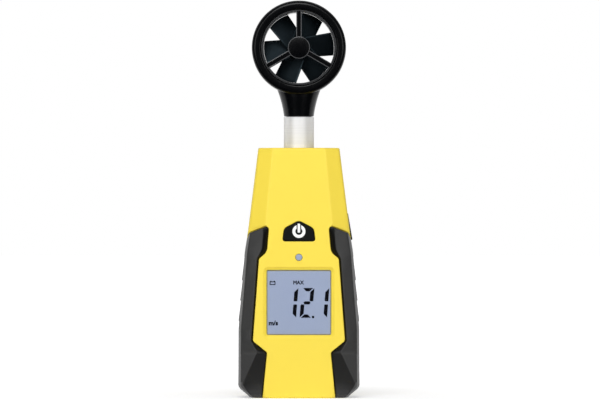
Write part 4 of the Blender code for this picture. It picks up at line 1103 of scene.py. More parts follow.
def grip_pocket(hand):
    """Room that a grip takes from the case."""
    bm = bmesh.new()
    wide = outer(0.0) * 2
    deep = grip_front * 2
    sections = []
    top = GRIP_PEAK + HEADROOM
    for z in levels(-WALL, top, OUTER_EDGE, INNER_EDGE, RIM_WIDTH, CORNER_RUN):
        edge = inner(z) - FIT_GAP
        back = rear_edge(z) - FIT_GAP
        seat_side = outer(z) - GRIP_SIDE - FIT_GAP
        points = [
            (edge, -deep),
            (wide, -deep),
            (wide, deep),
            (back, deep),
            (back, rear_seat - FIT_GAP),
            (seat_side, rear_seat - FIT_GAP - SEAT_FALL),
            (seat_side, -(front_seat - FIT_GAP - SEAT_FALL)),
            (edge, -(front_seat - FIT_GAP)),
        ]
        sections.append([(hand * x, y, z) for x, y in points])
    skin(bm, sections)
    pocket = cutter(bm)
    gap = FIT_GAP * 2.5
    carve(pocket, [(notch_prism(gap), "DIFFERENCE"), (roof_prism(gap), "DIFFERENCE")])
    return pocket


def opening(outline_at, steps):
    """Cutter through the front wall: outlines grown by a margin at each depth."""
    bm = bmesh.new()
    skin(bm, [[(p.x, y, p.y) for p in outline_at(grow)] for y, grow in steps])
    return cutter(bm)


PANE_LAP = 0.0007
WINDOW_FALL = 0.62


def window_mouth():
    """Straight slope from the front face down to the wall round the pane."""
    slope = settings().meter_case.window_slope
    past = OVERLAP / WINDOW_FALL
    return [
        (FRONT_Y - OVERLAP, slope + past),
        (FRONT_Y + slope * WINDOW_FALL, 0.0),
        (front_inner + OVERLAP, 0.0),
    ]


def window_outline(grow):
    half = pane_high.x - PANE_LAP + grow
    low = pane_low.z + PANE_LAP - grow
    high = pane_high.z - PANE_LAP + grow
    corners = [(-half, low), (half, low), (half, high), (-half, high)]
    return rounded(corners, settings().meter_case.window_corner + grow, 5)


KEY_LAP = 0.0010
KEY_BASE_WIDTH = 0.0137
KEY_SHOULDER_WIDTH = 0.0123
KEY_SHOULDER_RISE = 0.00525


def key_outline(grow):
    """Five-sided front key, grown outwards by a margin."""
    base = KEY_BASE_WIDTH / 2 + grow
    shoulder = KEY_SHOULDER_WIDTH / 2 + grow
    low = key_low.z + KEY_LAP
    high = key_high.z - KEY_LAP
    rise = low + KEY_SHOULDER_RISE + grow / 2
    corners = [
        (-base, low - grow),
        (base, low - grow),
        (shoulder, rise),
        (0.0, high + grow),
        (-shoulder, rise),
    ]
    return rounded(corners, settings().meter_case.key_corner + grow / 2, 5)


LENS_FLANGE = 0.0008
LENS_TRIM = 0.00012
LENS_GAP = 0.00010


def lens_radius():
    return lens_high.x - LENS_FLANGE - LENS_TRIM


def lens_outline(grow):
    radius = lens_radius() + grow
    centre = (lens_low.z + lens_high.z) / 2
    turns = [math.tau * k / 48 for k in range(48)]
    return [Vector((radius * math.cos(t), centre + radius * math.sin(t))) for t in turns]


def mouth(gap, flare):
    """Depths and margins of an opening with a rounded mouth."""
    past = FRONT_Y - OVERLAP
    steps = [(past, gap + flare * 1.3)]
    for inset, rise in edge_steps(flare):
        steps.append((FRONT_Y + rise, gap + inset))
    steps.append((front_inner + OVERLAP, gap))
    return steps


def stem_bore():
    bm = bmesh.new()
    radius = stem_radius() + KEY_GAP
    deep = BODY_TOP - WALL * 2
    flare = 0.0003
    profile = [(0.0, deep), (radius, deep), (radius, BODY_TOP - flare)]
    profile += [(radius + flare, BODY_TOP), (radius + flare, BODY_TOP + WALL), (0.0, BODY_TOP + WALL)]
    turned(bm, profile, (0.0, 0.0, 0.0), UP, 96)
    return cutter(bm)


COLLAR_STEP = 0.00135


def stem_radius():
    return stem_high.x - COLLAR_STEP


SIDE_FLANGE_LAP = 0.0010
side_key_z = (side_high.z - SIDE_FLANGE_LAP) - SIDE_KEY_LENGTH / 2
side_key_half = side_high.y - SIDE_FLANGE_LAP


def side_key_outline(grow):
    half = side_key_half + grow
    rise = SIDE_KEY_LENGTH / 2 + grow
    corners = [
        (-half, side_key_z - rise),
        (half, side_key_z - rise),
        (half, side_key_z + rise),
        (-half, side_key_z + rise),
    ]
    return rounded(corners, 0.0007 + grow, 4)


def side_key_opening():
    bm = bmesh.new()
    start = core_half(side_key_z) - WALL
    end = outer(0.0) * 2
    skin(bm, [[(x, p.x, p.y) for p in side_key_outline(KEY_GAP)] for x in (start, end)])
    return cutter(bm)


CASE_SCREWS = ("case_screw_1", "case_screw_2", "case_screw_3", "case_screw_4")


def spot_of(node):
    low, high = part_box(node)
    return (low + high) / 2, (high.x - low.x) / 2, low, high


def screw_sinks():
    bm = bmesh.new()
    for node in CASE_SCREWS:
        middle, radius, low, high = spot_of(node)
        seat = high.y - 0.0016
        wide = radius + KEY_GAP
        flare = 0.0003
        profile = [(0.0, seat), (wide, seat), (wide, REAR_Y - flare)]
        profile += [(wide + flare, REAR_Y), (wide + flare, REAR_Y + WALL), (0.0, REAR_Y + WALL)]
        turned(bm, profile, (middle.x, 0.0, middle.z), REAR, 40)
    return cutter(bm)


COMPARTMENT_WALL = 0.0016
COMPARTMENT_FLOOR = 0.0012
DOOR_LEDGE = 0.0012
DOOR_TAB_REACH = 0.0022
DOOR_TAB_OFFSET = 0.0080
DOOR_TAB_WIDTH = 0.0052
DOOR_THICKNESS = 0.0017
LEAD_SLOT_HALF = 0.0042
SNAP_HALF_DEPTH = 0.0050
SCOOP_HALF_WIDTH = 0.0060
SCOOP_DEPTH = 0.0012
SCOOP_HEIGHT = 0.0018

bay_half = cell_high.x + FIT_GAP
bay_low = cell_low.z - FIT_GAP
bay_floor = cell_low.y - FIT_GAP
plate_high = door_high.z - DOOR_TAB_REACH
bay_high = plate_high - DOOR_LEDGE
door_seat = REAR_Y - DOOR_THICKNESS - FIT_GAP


def battery_bay():
    """Box that joins the rear half and the room cut from it."""
    bm = bmesh.new()
    half = bay_half + COMPARTMENT_WALL
    box(
        bm,
        (-half, bay_floor - COMPARTMENT_FLOOR, bay_low - COMPARTMENT_WALL),
        (half, rear_inner + OVERLAP, bay_high + COMPARTMENT_WALL),
    )
    steps = [(cutter(bm), "UNION")]
    bm = bmesh.new()
    box(bm, (-bay_half, bay_floor, bay_low), (bay_half, REAR_Y + WALL, bay_high))
    steps.append((cutter(bm), "DIFFERENCE"))
    bm = bmesh.new()
    half = door_high.x + FIT_GAP
    seat = [(-half, door_low.z - FIT_GAP), (half, door_low.z - FIT_GAP)]
    seat += [(half, plate_high + FIT_GAP), (-half, plate_high + FIT_GAP)]
    outline = rounded(seat, 0.0010, 4)
    skin(bm, [[(p.x, y, p.y) for p in outline] for y in (door_seat, REAR_Y + WALL)])
    steps.append((cutter(bm), "DIFFERENCE"))
    bm = bmesh.new()
    slot = DOOR_TAB_WIDTH / 2 + FIT_GAP
    top = bay_high + COMPARTMENT_WALL + OVERLAP
    for x in (-DOOR_TAB_OFFSET, DOOR_TAB_OFFSET):
        box(bm, (x - slot, door_low.y - 0.0010, bay_high - OVERLAP), (x + slot, door_seat + SPLIT, top))
    middle = (cell_low.y + cell_high.y) / 2
    box(
        bm,
        (-LEAD_SLOT_HALF, middle - SNAP_HALF_DEPTH, bay_high - OVERLAP),
        (LEAD_SLOT_HALF, middle + SNAP_HALF_DEPTH / 2, top),
    )
    steps.append((cutter(bm), "DIFFERENCE"))
    bm = bmesh.new()
    scoop = [
        (REAR_Y - SCOOP_DEPTH, door_low.z),
        (REAR_Y + OVERLAP, door_low.z - SCOOP_HEIGHT),
        (REAR_Y + OVERLAP, door_low.z),
    ]
    skin(bm, [[(x, y, z) for y, z in scoop] for x in (-SCOOP_HALF_WIDTH, SCOOP_HALF_WIDTH)])
    steps.append((cutter(bm), "DIFFERENCE"))
    return steps


class METER_OT_case(Operator):
    """Both halves of the yellow case with their openings"""

    bl_idname = "meter.case"
    bl_label = "Case halves"

    def execute(self, context):
        look = settings().meter_case
        bm = bmesh.new()
        skin(bm, case_sections(True))
        front = as_object("front_case", bm)
        carve(
            front,
            [
                (hollow(True), "DIFFERENCE"),
                (opening(window_outline, window_mouth()), "DIFFERENCE"),
                (opening(key_outline, mouth(KEY_GAP, 0.0003)), "DIFFERENCE"),
                (opening(lens_outline, mouth(LENS_GAP, 0.0001)), "DIFFERENCE"),
                (stem_bore(), "DIFFERENCE"),
                (side_key_opening(), "DIFFERENCE"),
                (grip_pocket(-1), "DIFFERENCE"),
                (grip_pocket(1), "DIFFERENCE"),
            ],
        )
        soften(front, look.edge_soft)
        fit_out(front, "housing", ["front_shell"], finish("case_yellow"))
        bm = bmesh.new()
        skin(bm, case_sections(False))
        rear = as_object("rear_case", bm)
        steps = [(hollow(False), "DIFFERENCE")]
        steps += battery_bay()
        steps += [
            (screw_sinks(), "DIFFERENCE"),
            (stem_bore(), "DIFFERENCE"),
            (side_key_opening(), "DIFFERENCE"),
            (grip_pocket(-1), "DIFFERENCE"),
            (grip_pocket(1), "DIFFERENCE"),
        ]
        carve(rear, steps)
        soften(rear, look.edge_soft)
        fit_out(rear, "housing", ["rear_shell"], finish("case_yellow"))
        return {"FINISHED"}


# Side grips


def ridge_rise(z, height):
    """How far the finger ridges stand out at a height."""
    for i in range(3):
        low = RIDGE_BASE + i * RIDGE_PITCH
        if low <= z <= low + RIDGE_LENGTH:
            return height * (1 - (z - low) / RIDGE_LENGTH)
    return 0.0


def ridge_heights():
    found = []
    for i in range(3):
        low = RIDGE_BASE + i * RIDGE_PITCH
        found += [(low - SPLIT, 0.0), (low + SPLIT, 0.0), (low + RIDGE_LENGTH, 0.0)]
    return tuple(found)


def grip_section(z, hand, base):
    """C-shaped section of a grip; base pulls the faces in at the foot."""
    edge = inner(z)
    half = outer(z)
    strip = half - STRIP
    rim = min(edge + eased(RIM_WIDTH, z, INNER_EASE), strip - OVERLAP)
    back = rear_edge(z)
    seat_side = half - GRIP_SIDE
    proud = half + ridge_rise(z, settings().meter_case.ridge)
    pad = RIDGE_HALF_DEPTH
    fine = 0.0002
    corners = [
        (edge, -(front_depth - edge_drop(z) - base), 0.0005),
        (rim, -(grip_front - base), 0.0005),
        (strip, -(grip_front - FACE_FALL - base / 2), 0.0006),
        (half, -(grip_front - SHOULDER_FALL), 0.0008),
        (half, -pad - fine, fine),
        (proud, -pad + fine, fine),
        (proud, pad - fine, fine),
        (half, pad + fine, fine),
        (half, grip_rear - SHOULDER_FALL, 0.0008),
        (strip, grip_rear - FACE_FALL - base / 2, 0.0006),
        (back + 0.0007, grip_rear - base, 0.0004),
        (back, grip_rear - EDGE_DROP - base, fine),
        (back, rear_seat, fine),
        (seat_side, rear_seat - SEAT_FALL, fine),
        (seat_side, -(front_seat - SEAT_FALL), fine),
        (edge, -front_seat, fine),
    ]
    outline = rounded([(x, y) for x, y, _ in corners], [soft for _, _, soft in corners])
    return [(hand * p.x, p.y, z) for p in outline]


class METER_OT_grips(Operator):
    """Rubber grips along both sides"""

    bl_idname = "meter.grips"
    bl_label = "Side grips"

    def execute(self, context):
        for name, node, hand in (("grip_left", "left_grip", -1), ("grip_right", "right_grip", 1)):
            bm = bmesh.new()
            sections = []
            for inset, rise in GRIP_FOOT:
                sections.append(grip_section(GRIP_BASE + rise, hand, inset))
            foot = GRIP_BASE + GRIP_FOOT[-1][1]
            top = GRIP_PEAK + HEADROOM
            spread = levels(foot, top, OUTER_EDGE, INNER_EDGE, RIM_WIDTH, CORNER_RUN)
            marks = [z for z, _ in ridge_heights()]
            for z in sorted(set(spread[1:]) | set(marks)):
                sections.append(grip_section(z, hand, 0.0))
            skin(bm, sections)
            grip = as_object(name, bm)
            carve(grip, [(notch_prism(0.0), "DIFFERENCE"), (roof_prism(0.0), "DIFFERENCE")])
            soften(grip, 0.00025, math.radians(50.0))
            mark_painted_shade(grip)
            fit_out(grip, "housing", [node], finish("grip_black"))
        return {"FINISHED"}


# Keys and marks


class METER_OT_keys(Operator):
    """Front key with its power mark, and the side key"""

    bl_idname = "meter.keys"
    bl_label = "Keys"

    def execute(self, context):
        bm = bmesh.new()
        face = key_low.y + SPLIT / 2
        steps = [(face + rise, -inset) for inset, rise in edge_steps(0.0004)]
        flange = front_inner + FIT_GAP
        steps += [(flange, 0.0), (flange, KEY_LAP), (flange + 0.0010, KEY_LAP)]
        skin(bm, [[(p.x, y, p.y) for p in key_outline(grow)] for y, grow in steps])
        key = as_object("power_key_cap", bm)
        fit_out(key, "power_key", ["power_button"], finish("key_black"))
        self.power_mark(face)
        bm = bmesh.new()
        sections = []
        core = core_half(side_key_z) - FIT_GAP - SPLIT
        lean = (along(OUTER_EDGE, BODY_TOP) - along(OUTER_EDGE, 0.0705)) / (BODY_TOP - 0.0705)
        run = [(side_high.x - 0.0035, 0.0)]
        middle = along(OUTER_EDGE, side_key_z) + 0.0005
        run += [(middle - rise, inset) for inset, rise in reversed(edge_steps(0.0005))]
        for i, (x, inset) in enumerate(run):
            tilt = (lean - 0.047) if i else 0.0
            outline = side_key_outline(-inset)
            sections.append([(x + tilt * (p.y - side_key_z), p.x, p.y) for p in outline])
        skin(bm, sections)
        side = as_object("side_key_cap", bm)
        fit_out(side, "side_key", ["side_button"], finish("key_black"))
        return {"FINISHED"}

    def power_mark(self, face):
        """White ring with a gap and a bar, let into the key."""
        low = key_low.z + KEY_LAP
        centre = (0.0, 0.0, low + 0.00405)
        front = key_low.y
        back = face + 0.00005
        bm = bmesh.new()
        profile = [(0.0015, front), (0.0028, front), (0.0028, back), (0.0015, back)]
        turned(bm, profile, centre, REAR, 64)
        ring = as_object("power_mark", bm)
        bar_half = 0.00055
        gap = bar_half + 0.00045
        bm = bmesh.new()
        box(bm, (-gap, front - SPLIT, centre[2]), (gap, back + SPLIT, centre[2] + 0.0040))
        gap_box = cutter(bm)
        bm = bmesh.new()
        tall = [(-bar_half, low + 0.0035), (bar_half, low + 0.0035)]
        tall += [(bar_half, low + 0.00735), (-bar_half, low + 0.00735)]
        outline = rounded(tall, [0.0006, 0.0006, 0.0002, 0.0002], 5)
        skin(bm, [[(p.x, y, p.y) for p in outline] for y in (front, back)])
        bar = cutter(bm)
        carve(ring, [(gap_box, "DIFFERENCE"), (bar, "UNION")])
        fit_out(ring, "power_key", [], mark_white())


# Display


def seven_segments(look):
    """Outlines of the seven segments of a digit, low left corner at the origin."""
    tall = look.digit_height
    wide = look.digit_width + look.stroke
    s = look.stroke
    mid = tall / 2
    column = [(wide - s, mid + s * 0.42), (wide, mid + s * 0.42)]
    column += [(wide, tall - s * 0.06), (wide - s, tall - s * 1.08)]
    upper = rounded(column, [s * 0.25, s * 0.25, s * 0.1, s * 0.15])
    bar = [(s * 0.32, tall), (wide - s * 0.32, tall), (wide - s * 1.2, tall - s * 0.88)]
    bar += [(s * 1.2, tall - s * 0.88)]
    top = rounded(bar, s * 0.12)
    dash = [(s * 0.7, mid), (s * 1.0, mid + s * 0.42), (wide - s * 1.0, mid + s * 0.42)]
    dash += [(wide - s * 0.7, mid), (wide - s * 1.0, mid - s * 0.42), (s * 1.0, mid - s * 0.42)]
    middle = rounded(dash, s * 0.1)
    return {
        "a": [(x, y) for x, y in top],
        "b": [(x, y) for x, y in upper],
        "c": [(x, tall - y) for x, y in upper],
        "d": [(x, tall - y) for x, y in top],
        "e": [(wide - x, tall - y) for x, y in upper],
        "f": [(wide - x, y) for x, y in upper],
        "g": [(x, y) for x, y in middle],
    }


DIGITS = {"1": "bc", "2": "abged"}
PANE_THICKNESS = 0.0003
PANE_SET = 0.00005
PANE_GAP = 0.00008


def flat_shape(bm, outline, front, back):
    """Thin plate in the plane of the display."""
    face = bm.faces.new([bm.verts.new((x, back, z)) for x, z in outline])
    grown = bmesh.ops.extrude_face_region(bm, geom=[face])
    verts = [item for item in grown["geom"] if isinstance(item, bmesh.types.BMVert)]
    bmesh.ops.translate(bm, vec=(0.0, front - back, 0.0), verts=verts)


# Least share kept where two walls of a letter meet in a sharp corner
SHARPEST = 0.4


def embolden(bm, weight):
    """Push the walls of letters outwards, each corner along both of its walls."""
    moves = []
    for vert in bm.verts:
        walls = [face.normal for face in vert.link_faces if abs(face.normal.z) < 0.5]
        way = sum(walls, Vector())
        share = max(SHARPEST, way.length_squared / len(walls))
        moves.append((vert, way * (weight / share)))
    for vert, move in moves:
        vert.co += move


def lettering(text, width, height, left, base, front, thickness, weight):
    """Words on the display as a mesh, stretched to a width and a height."""
    curve = bpy.data.curves.new("lettering", "FONT")
    curve.body = text
    curve.size = 1.0
    curve.resolution_u = 3
    curve.extrude = 0.5
    obj = bpy.data.objects.new("lettering", curve)
    bpy.context.scene.collection.objects.link(obj)
    graph = bpy.context.evaluated_depsgraph_get()
    mesh = bpy.data.meshes.new_from_object(obj.evaluated_get(graph))
    bpy.data.objects.remove(obj)
    bpy.data.curves.remove(curve)
    bm = bmesh.new()
    bm.from_mesh(mesh)
    bpy.data.meshes.remove(mesh)
    close_up(bm)
    embolden(bm, weight)
    low = Vector([min(v.co[i] for v in bm.verts) for i in range(3)])
    high = Vector([max(v.co[i] for v in bm.verts) for i in range(3)])
    size = high - low
    stretch = (width / size.x, height / size.y, thickness / size.z)
    bmesh.ops.translate(bm, vec=-low, verts=bm.verts[:])
    bmesh.ops.scale(bm, vec=stretch, verts=bm.verts[:])
    turn = Matrix.Rotation(math.pi / 2, 3, "X")
    bmesh.ops.rotate(bm, verts=bm.verts[:], cent=(0.0, 0.0, 0.0), matrix=turn)
    bmesh.ops.translate(bm, vec=(left, front + thickness, base), verts=bm.verts[:])
    return bm


class METER_OT_display(Operator):
    """Display pane, glass, digits and the status lens"""

    bl_idname = "meter.display"
    bl_label = "Display"

    def execute(self, context):
        look = settings().meter_display
        foot = FRONT_Y + settings().meter_case.window_slope * WINDOW_FALL
        face = foot + PANE_SET + PANE_THICKNESS + FIT_GAP / 2
        self.pane(foot + PANE_SET)
        self.glass(face)
        back = face - SPLIT / 4
        front = back - SPLIT / 2
        self.digits(look, front, back)
        self.words(front, back)
        self.lens()
        return {"FINISHED"}

    def pane(self, front):
        bm = bmesh.new()
        outline = [(p.x, p.y) for p in window_outline(-PANE_GAP)]
        flat_shape(bm, outline, front, front + PANE_THICKNESS)
        pane = as_object("display_pane", bm)
        fit_out(pane, "housing", ["display_window"], finish("pane_clear"))

    def glass(self, face):
        bm = bmesh.new()
        box(bm, lcd_low, lcd_high)
        bmesh.ops.bevel(
            bm,
            geom=bm.edges[:],
            offset=0.0002,
            affect="EDGES",
            segments=2,
            profile=0.5,
            material=-1,
        )
        glass = as_object("display_glass", bm)
        middle = (lcd_low.y + lcd_high.y) / 2
        raised = opening(window_outline, [(face, -PANE_GAP), (middle, -PANE_GAP)])
        carve(glass, [(raised, "UNION")])
        fit_out(glass, "housing", ["lcd_glass"], finish("display_grey"))

    def digits(self, look, front, back):
        shapes = seven_segments(look)
        base = 0.0344
        lefts = (("1", -0.00652), ("2", 0.00030), ("1", 0.00672))
        lean = math.tan(look.slant)
        bm = bmesh.new()
        for digit, left in lefts:
            for segment in DIGITS[digit]:
                outline = [(left + x + lean * y, base + y) for x, y in shapes[segment]]
                flat_shape(bm, outline, front, back)
        point = [(0.00555, 0.0342), (0.00655, 0.0342), (0.00655, 0.0352), (0.00555, 0.0352)]
        outline = [(p.x, p.y) for p in rounded(point, 0.0003)]
        flat_shape(bm, outline, front, back)
        fit_out(as_object("display_digits", bm), "housing", [], ink())

    def words(self, front, back):
        bm = lettering("MAX", 0.0046, 0.0017, -0.0024, 0.0486, front, back - front, 0.042)
        fit_out(as_object("display_max", bm), "housing", [], ink())
        bm = lettering("m/s", 0.0040, 0.0021, -0.0129, 0.0311, front, back - front, 0.045)
        fit_out(as_object("display_unit", bm), "housing", [], ink())
        bm = bmesh.new()
        line = 0.00038
        low = Vector((-0.0125, 0.0, 0.0484))
        high = Vector((-0.0100, 0.0, 0.0499))
        stud = 0.0003
        side_low = low.z + line + SPLIT
        side_high = high.z - line - SPLIT
        for a, b in (
            ((low.x, low.z), (high.x, low.z + line)),
            ((low.x, high.z - line), (high.x, high.z)),
            ((low.x, side_low), (low.x + line, side_high)),
            ((high.x - line, side_low), (high.x, side_high)),
            ((low.x + stud, high.z), (low.x + stud * 2.5, high.z + stud)),
            ((high.x - stud * 2.5, high.z), (high.x - stud, high.z + stud)),
        ):
            flat_shape(bm, [a, (b[0], a[1]), b, (a[0], b[1])], front, back)
        fit_out(as_object("display_battery_sign", bm), "housing", [], ink())

    def lens(self):
        bm = bmesh.new()
        radius = lens_radius()
        centre = (0.0, 0.0, (lens_low.z + lens_high.z) / 2)
        bend = 0.0004
        profile = [(0.0, lens_low.y)]
        profile += arc((radius - bend, lens_low.y + bend), bend, -math.pi / 2, 0.0, 5)
        profile += [
            (radius, front_inner + FIT_GAP),
            (lens_high.x, front_inner + FIT_GAP),
            (lens_high.x, lens_high.y),
            (0.0, lens_high.y),
        ]
        turned(bm, profile, centre, REAR, 48)
        lens = as_object("status_dot", bm)
        fit_out(lens, "housing", ["status_lens"], finish("display_grey"))


def ink():
    """Dark segments of the display."""
    if "ink" not in FINISHES:
        colour = settings().meter_display.ink
        FINISHES["ink"] = moulded("display_ink", colour, 0.5, 0.05, 0.0, 1500.0, 0.0)
    return FINISHES["ink"]


def mark_white():
    """White print on the front key."""
    if "mark" not in FINISHES:
        FINISHES["mark"] = moulded("mark_white", (0.93, 0.93, 0.93), 0.5, 0.02, 0.0, 1500.0, 0.3)
    return FINISHES["mark"]


# Stem and head


class METER_OT_stem(Operator):
    """Metal stem that turns in the case"""

    bl_idname = "meter.stem"
    bl_label = "Stem"

    def execute(self, context):
        radius = stem_radius()
        bore = radius - 0.0008
        soft = 0.0002
        bm = bmesh.new()
        collar = (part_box("lower_bush")[1].z + FIT_GAP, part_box("upper_bush")[0].z - FIT_GAP)
        profile = [
            (bore, stem_low.z),
            (radius - soft, stem_low.z),
            (radius, stem_low.z + soft),
            (radius, collar[0]),
            (stem_high.x, collar[0]),
            (stem_high.x, collar[1]),
            (radius, collar[1]),
            (radius, stem_high.z - soft),
            (radius - soft, stem_high.z),
            (bore, stem_high.z),
        ]
        turned(bm, profile, (0.0, 0.0, 0.0), UP, 96)
        stem = as_object("stem", bm)
        fit_out(stem, "vane_head", ["stem_tube"], finish("stem_steel"))
        return {"FINISHED"}


REBATE_RADIUS = 0.0163
DUCT_RADIUS = 0.01515
REBATE_FLOOR = 0.0062
RING_LAP = 0.0004
RING_LAP_RADIUS = 0.0168
NECK_BASE_RADIUS = 0.0064
NECK_TOP_HALF_WIDTH = 0.0085
NECK_TOP_HALF_DEPTH = 0.0074
SPIGOT_LENGTH = 0.0098
CABLE_BORE = 0.0018
NECK_OVERLAP = 0.0031
NECK_FLARE = 0.55
neck_base = stem_high.z + FIT_GAP
ring_bottom = RING_Z - RING_RADIUS
ring_centre = Vector((0.0, 0.0, RING_Z))


def ring_profile(side):
    """Section of one ring half: soft outer edge, narrow inner lip, stepped duct, lapped seam."""
    look = settings().meter_head
    outer_bend = look.outer_round
    lip = look.lip_round
    turn = math.pi / 2
    points = [(RING_RADIUS, SPLIT)]
    points += arc((RING_RADIUS - outer_bend, RING_DEPTH - outer_bend), outer_bend, 0.0, turn, 12)
    points += arc((REBATE_RADIUS + lip, RING_DEPTH - lip), lip, turn, 2 * turn, 5)
    points += [(REBATE_RADIUS, REBATE_FLOOR), (DUCT_RADIUS, REBATE_FLOOR)]
    lap = SPLIT + side * RING_LAP
    lap_radius = RING_LAP_RADIUS + side * SPLIT
    points += [(DUCT_RADIUS, lap), (lap_radius, lap), (lap_radius, SPLIT)]
    return [(r, side * y) for r, y in points]


def half_ellipse(wide, deep, z, side, steps=28):
    turns = [math.pi * k / steps for k in range(steps + 1)]
    return [(wide * math.cos(t), side * (SPLIT + (deep - SPLIT) * math.sin(t)), z) for t in turns]


def neck(side):
    """Flaring cone under the ring with the spigot that goes into the stem."""
    bm = bmesh.new()
    soft = 0.0002
    rise = ring_bottom - neck_base
    grow = NECK_OVERLAP / rise
    sections = [half_ellipse(NECK_BASE_RADIUS - soft, NECK_BASE_RADIUS - soft, neck_base, side)]
    start = soft / rise
    steps = 10
    for k in range(steps + 1):
        t = start + (1.0 + grow - start) * k / steps
        flare = NECK_FLARE * t + (1.0 - NECK_FLARE) * t * t
        wide = NECK_BASE_RADIUS + (NECK_TOP_HALF_WIDTH - NECK_BASE_RADIUS) * flare
        deep = NECK_BASE_RADIUS + (NECK_TOP_HALF_DEPTH - NECK_BASE_RADIUS) * min(t, 1.0)
        sections.append(half_ellipse(wide, deep, neck_base + rise * t, side))
    skin(bm, sections)
    cone = cutter(bm)
    bm = bmesh.new()
    radius = stem_radius() - 0.0010
    run = (neck_base - SPIGOT_LENGTH, neck_base + WALL)
    skin(bm, [half_ellipse(radius, radius, z, side) for z in run])
    return cone, cutter(bm)


def neck_room():
    """Bore for the cable, pocket for the pickup and sinks for the screws."""
    bm = bmesh.new()
    board_low, board_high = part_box("pickup_board")
    gap = FIT_GAP
    start = neck_base - SPIGOT_LENGTH - WALL
    profile = [(0.0, start), (CABLE_BORE, start), (CABLE_BORE, board_low.z), (0.0, board_low.z)]
    turned(bm, profile, (0.0, 0.0, 0.0), UP, 24)
    bore = cutter(bm)
    bm = bmesh.new()
    deep = 0.0026
    box(
        bm,
        (board_low.x - gap, -deep, board_low.z - gap),
        (board_high.x + gap, deep, board_high.z + gap),
    )
    pocket = cutter(bm)
    bm = bmesh.new()
    sensor_low, sensor_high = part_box("pickup_sensor")
    box(
        bm,
        (sensor_low.x - gap, sensor_low.y - gap, board_high.z),
        (sensor_high.x + gap, sensor_high.y + gap, sensor_high.z + gap),
    )
    slot = cutter(bm)
    bm = bmesh.new()
    for node in ("head_screw_1", "head_screw_2"):
        middle, radius, low, high = spot_of(node)
        seat = high.y - 0.0011
        profile = [(0.0, low.y - gap), (0.0010, low.y - gap), (0.0010, seat), (radius + gap, seat)]
        profile += [(radius + gap, RING_DEPTH), (0.0, RING_DEPTH)]
        turned(bm, profile, (middle.x, 0.0, middle.z), REAR, 32)
    return [(room, "DIFFERENCE") for room in (bore, pocket, slot, cutter(bm))]


class METER_OT_head(Operator):
    """Ring halves with the neck below them"""

    bl_idname = "meter.head"
    bl_label = "Ring and neck"

    def execute(self, context):
        for name, node, side in (
            ("ring_front", "head_front_shell", -1.0),
            ("ring_rear", "head_rear_shell", 1.0),
        ):
            bm = bmesh.new()
            turned(bm, ring_profile(side), ring_centre, REAR, 144)
            half = as_object(name, bm)
            cone, spigot = neck(side)
            carve(half, [(cone, "UNION"), (spigot, "UNION")] + neck_room())
            fit_out(half, "vane_head", [node], finish("head_black"))
        return {"FINISHED"}


SPIDER_RIM = 0.0008
SPOKE_WIDTH = 0.0021
HUB_RADIUS = 0.0047


# Sloping flanks of spokes and hub: width seen from the front, and depth for each unit of it
SPOKE_FLANK = 0.0003
HUB_FLANK = 0.00025
FLANK_RISE = 0.25


class METER_OT_spokes(Operator):
    """Spoked guards that hold the axle on both sides of the fan"""

    bl_idname = "meter.spokes"
    bl_label = "Spoked guards"

    def execute(self, context):
        for name, node, side in (
            ("guard_front", "front_spider", -1.0),
            ("guard_rear", "rear_spider", 1.0),
        ):
            low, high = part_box(node)
            hub_out = max(abs(low.y), abs(high.y))
            hub_in = min(abs(low.y), abs(high.y))
            rim_out = high.x
            rim_in = rim_out - SPIDER_RIM
            rim_back = REBATE_FLOOR + FIT_GAP
            rim_front = hub_out - FIT_GAP
            soft = 0.0003
            bm = bmesh.new()
            profile = [
                (rim_in, rim_back),
                (rim_out, rim_back),
                (rim_out, rim_front - soft),
                (rim_out - soft, rim_front),
                (rim_in + soft, rim_front),
                (rim_in, rim_front - soft),
            ]
            turned(bm, [(r, side * y) for r, y in profile], ring_centre, REAR, 144)
            guard = as_object(name, bm)
            spokes = self.spokes(side, rim_back, rim_front, rim_out - SPIDER_RIM / 3)
            carve(guard, [(spokes, "UNION"), (self.hub(side, hub_in, hub_out), "UNION")])
            mark_painted_highlights(guard)
            fit_out(guard, "vane_head", [node], finish("head_black"))
        return {"FINISHED"}

    def spokes(self, side, back, front, reach):
        """Three bars with sloping flanks."""
        half = SPOKE_WIDTH / 2 + SPOKE_FLANK / 4
        flat = half - SPOKE_FLANK
        shoulder = front - SPLIT - SPOKE_FLANK * FLANK_RISE
        outline = [
            (-half, back + SPLIT),
            (half, back + SPLIT),
            (half, shoulder),
            (flat, front - SPLIT),
            (-flat, front - SPLIT),
            (-half, shoulder),
        ]
        bm = bmesh.new()
        for k in range(3):
            angle = math.pi / 2 + math.tau * k / 3
            along_bar = Vector((math.cos(angle), 0.0, math.sin(angle)))
            across = Vector((-math.sin(angle), 0.0, math.cos(angle)))
            sections = []
            for r in (HUB_RADIUS / 2, reach):
                start = ring_centre + along_bar * r
                sections.append([start + across * x + REAR * (side * y) for x, y in outline])
            skin(bm, sections)
        return cutter(bm)

    def hub(self, side, back, front):
        """Flat cap with a sloping flank."""
        profile = [
            (0.0, front),
            (HUB_RADIUS - HUB_FLANK, front),
            (HUB_RADIUS, front - HUB_FLANK * FLANK_RISE),
            (HUB_RADIUS, back),
            (0.0015, back),
            (0.0015, back + 0.0020),
            (0.0, back + 0.0020),
        ]
        bm = bmesh.new()
        turned(bm, [(r, side * y) for r, y in profile], ring_centre, REAR, 72)
        return cutter(bm)


BLADE_ROOT_RADIUS = 0.0030
BLADE_ROOT_CHORD = 0.0108
BLADE_TIP_CHORD = 0.0124
BLADE_THICKNESS = 0.0007
FAN_HUB_RADIUS = 0.0042
TIP_GAP = 0.0001


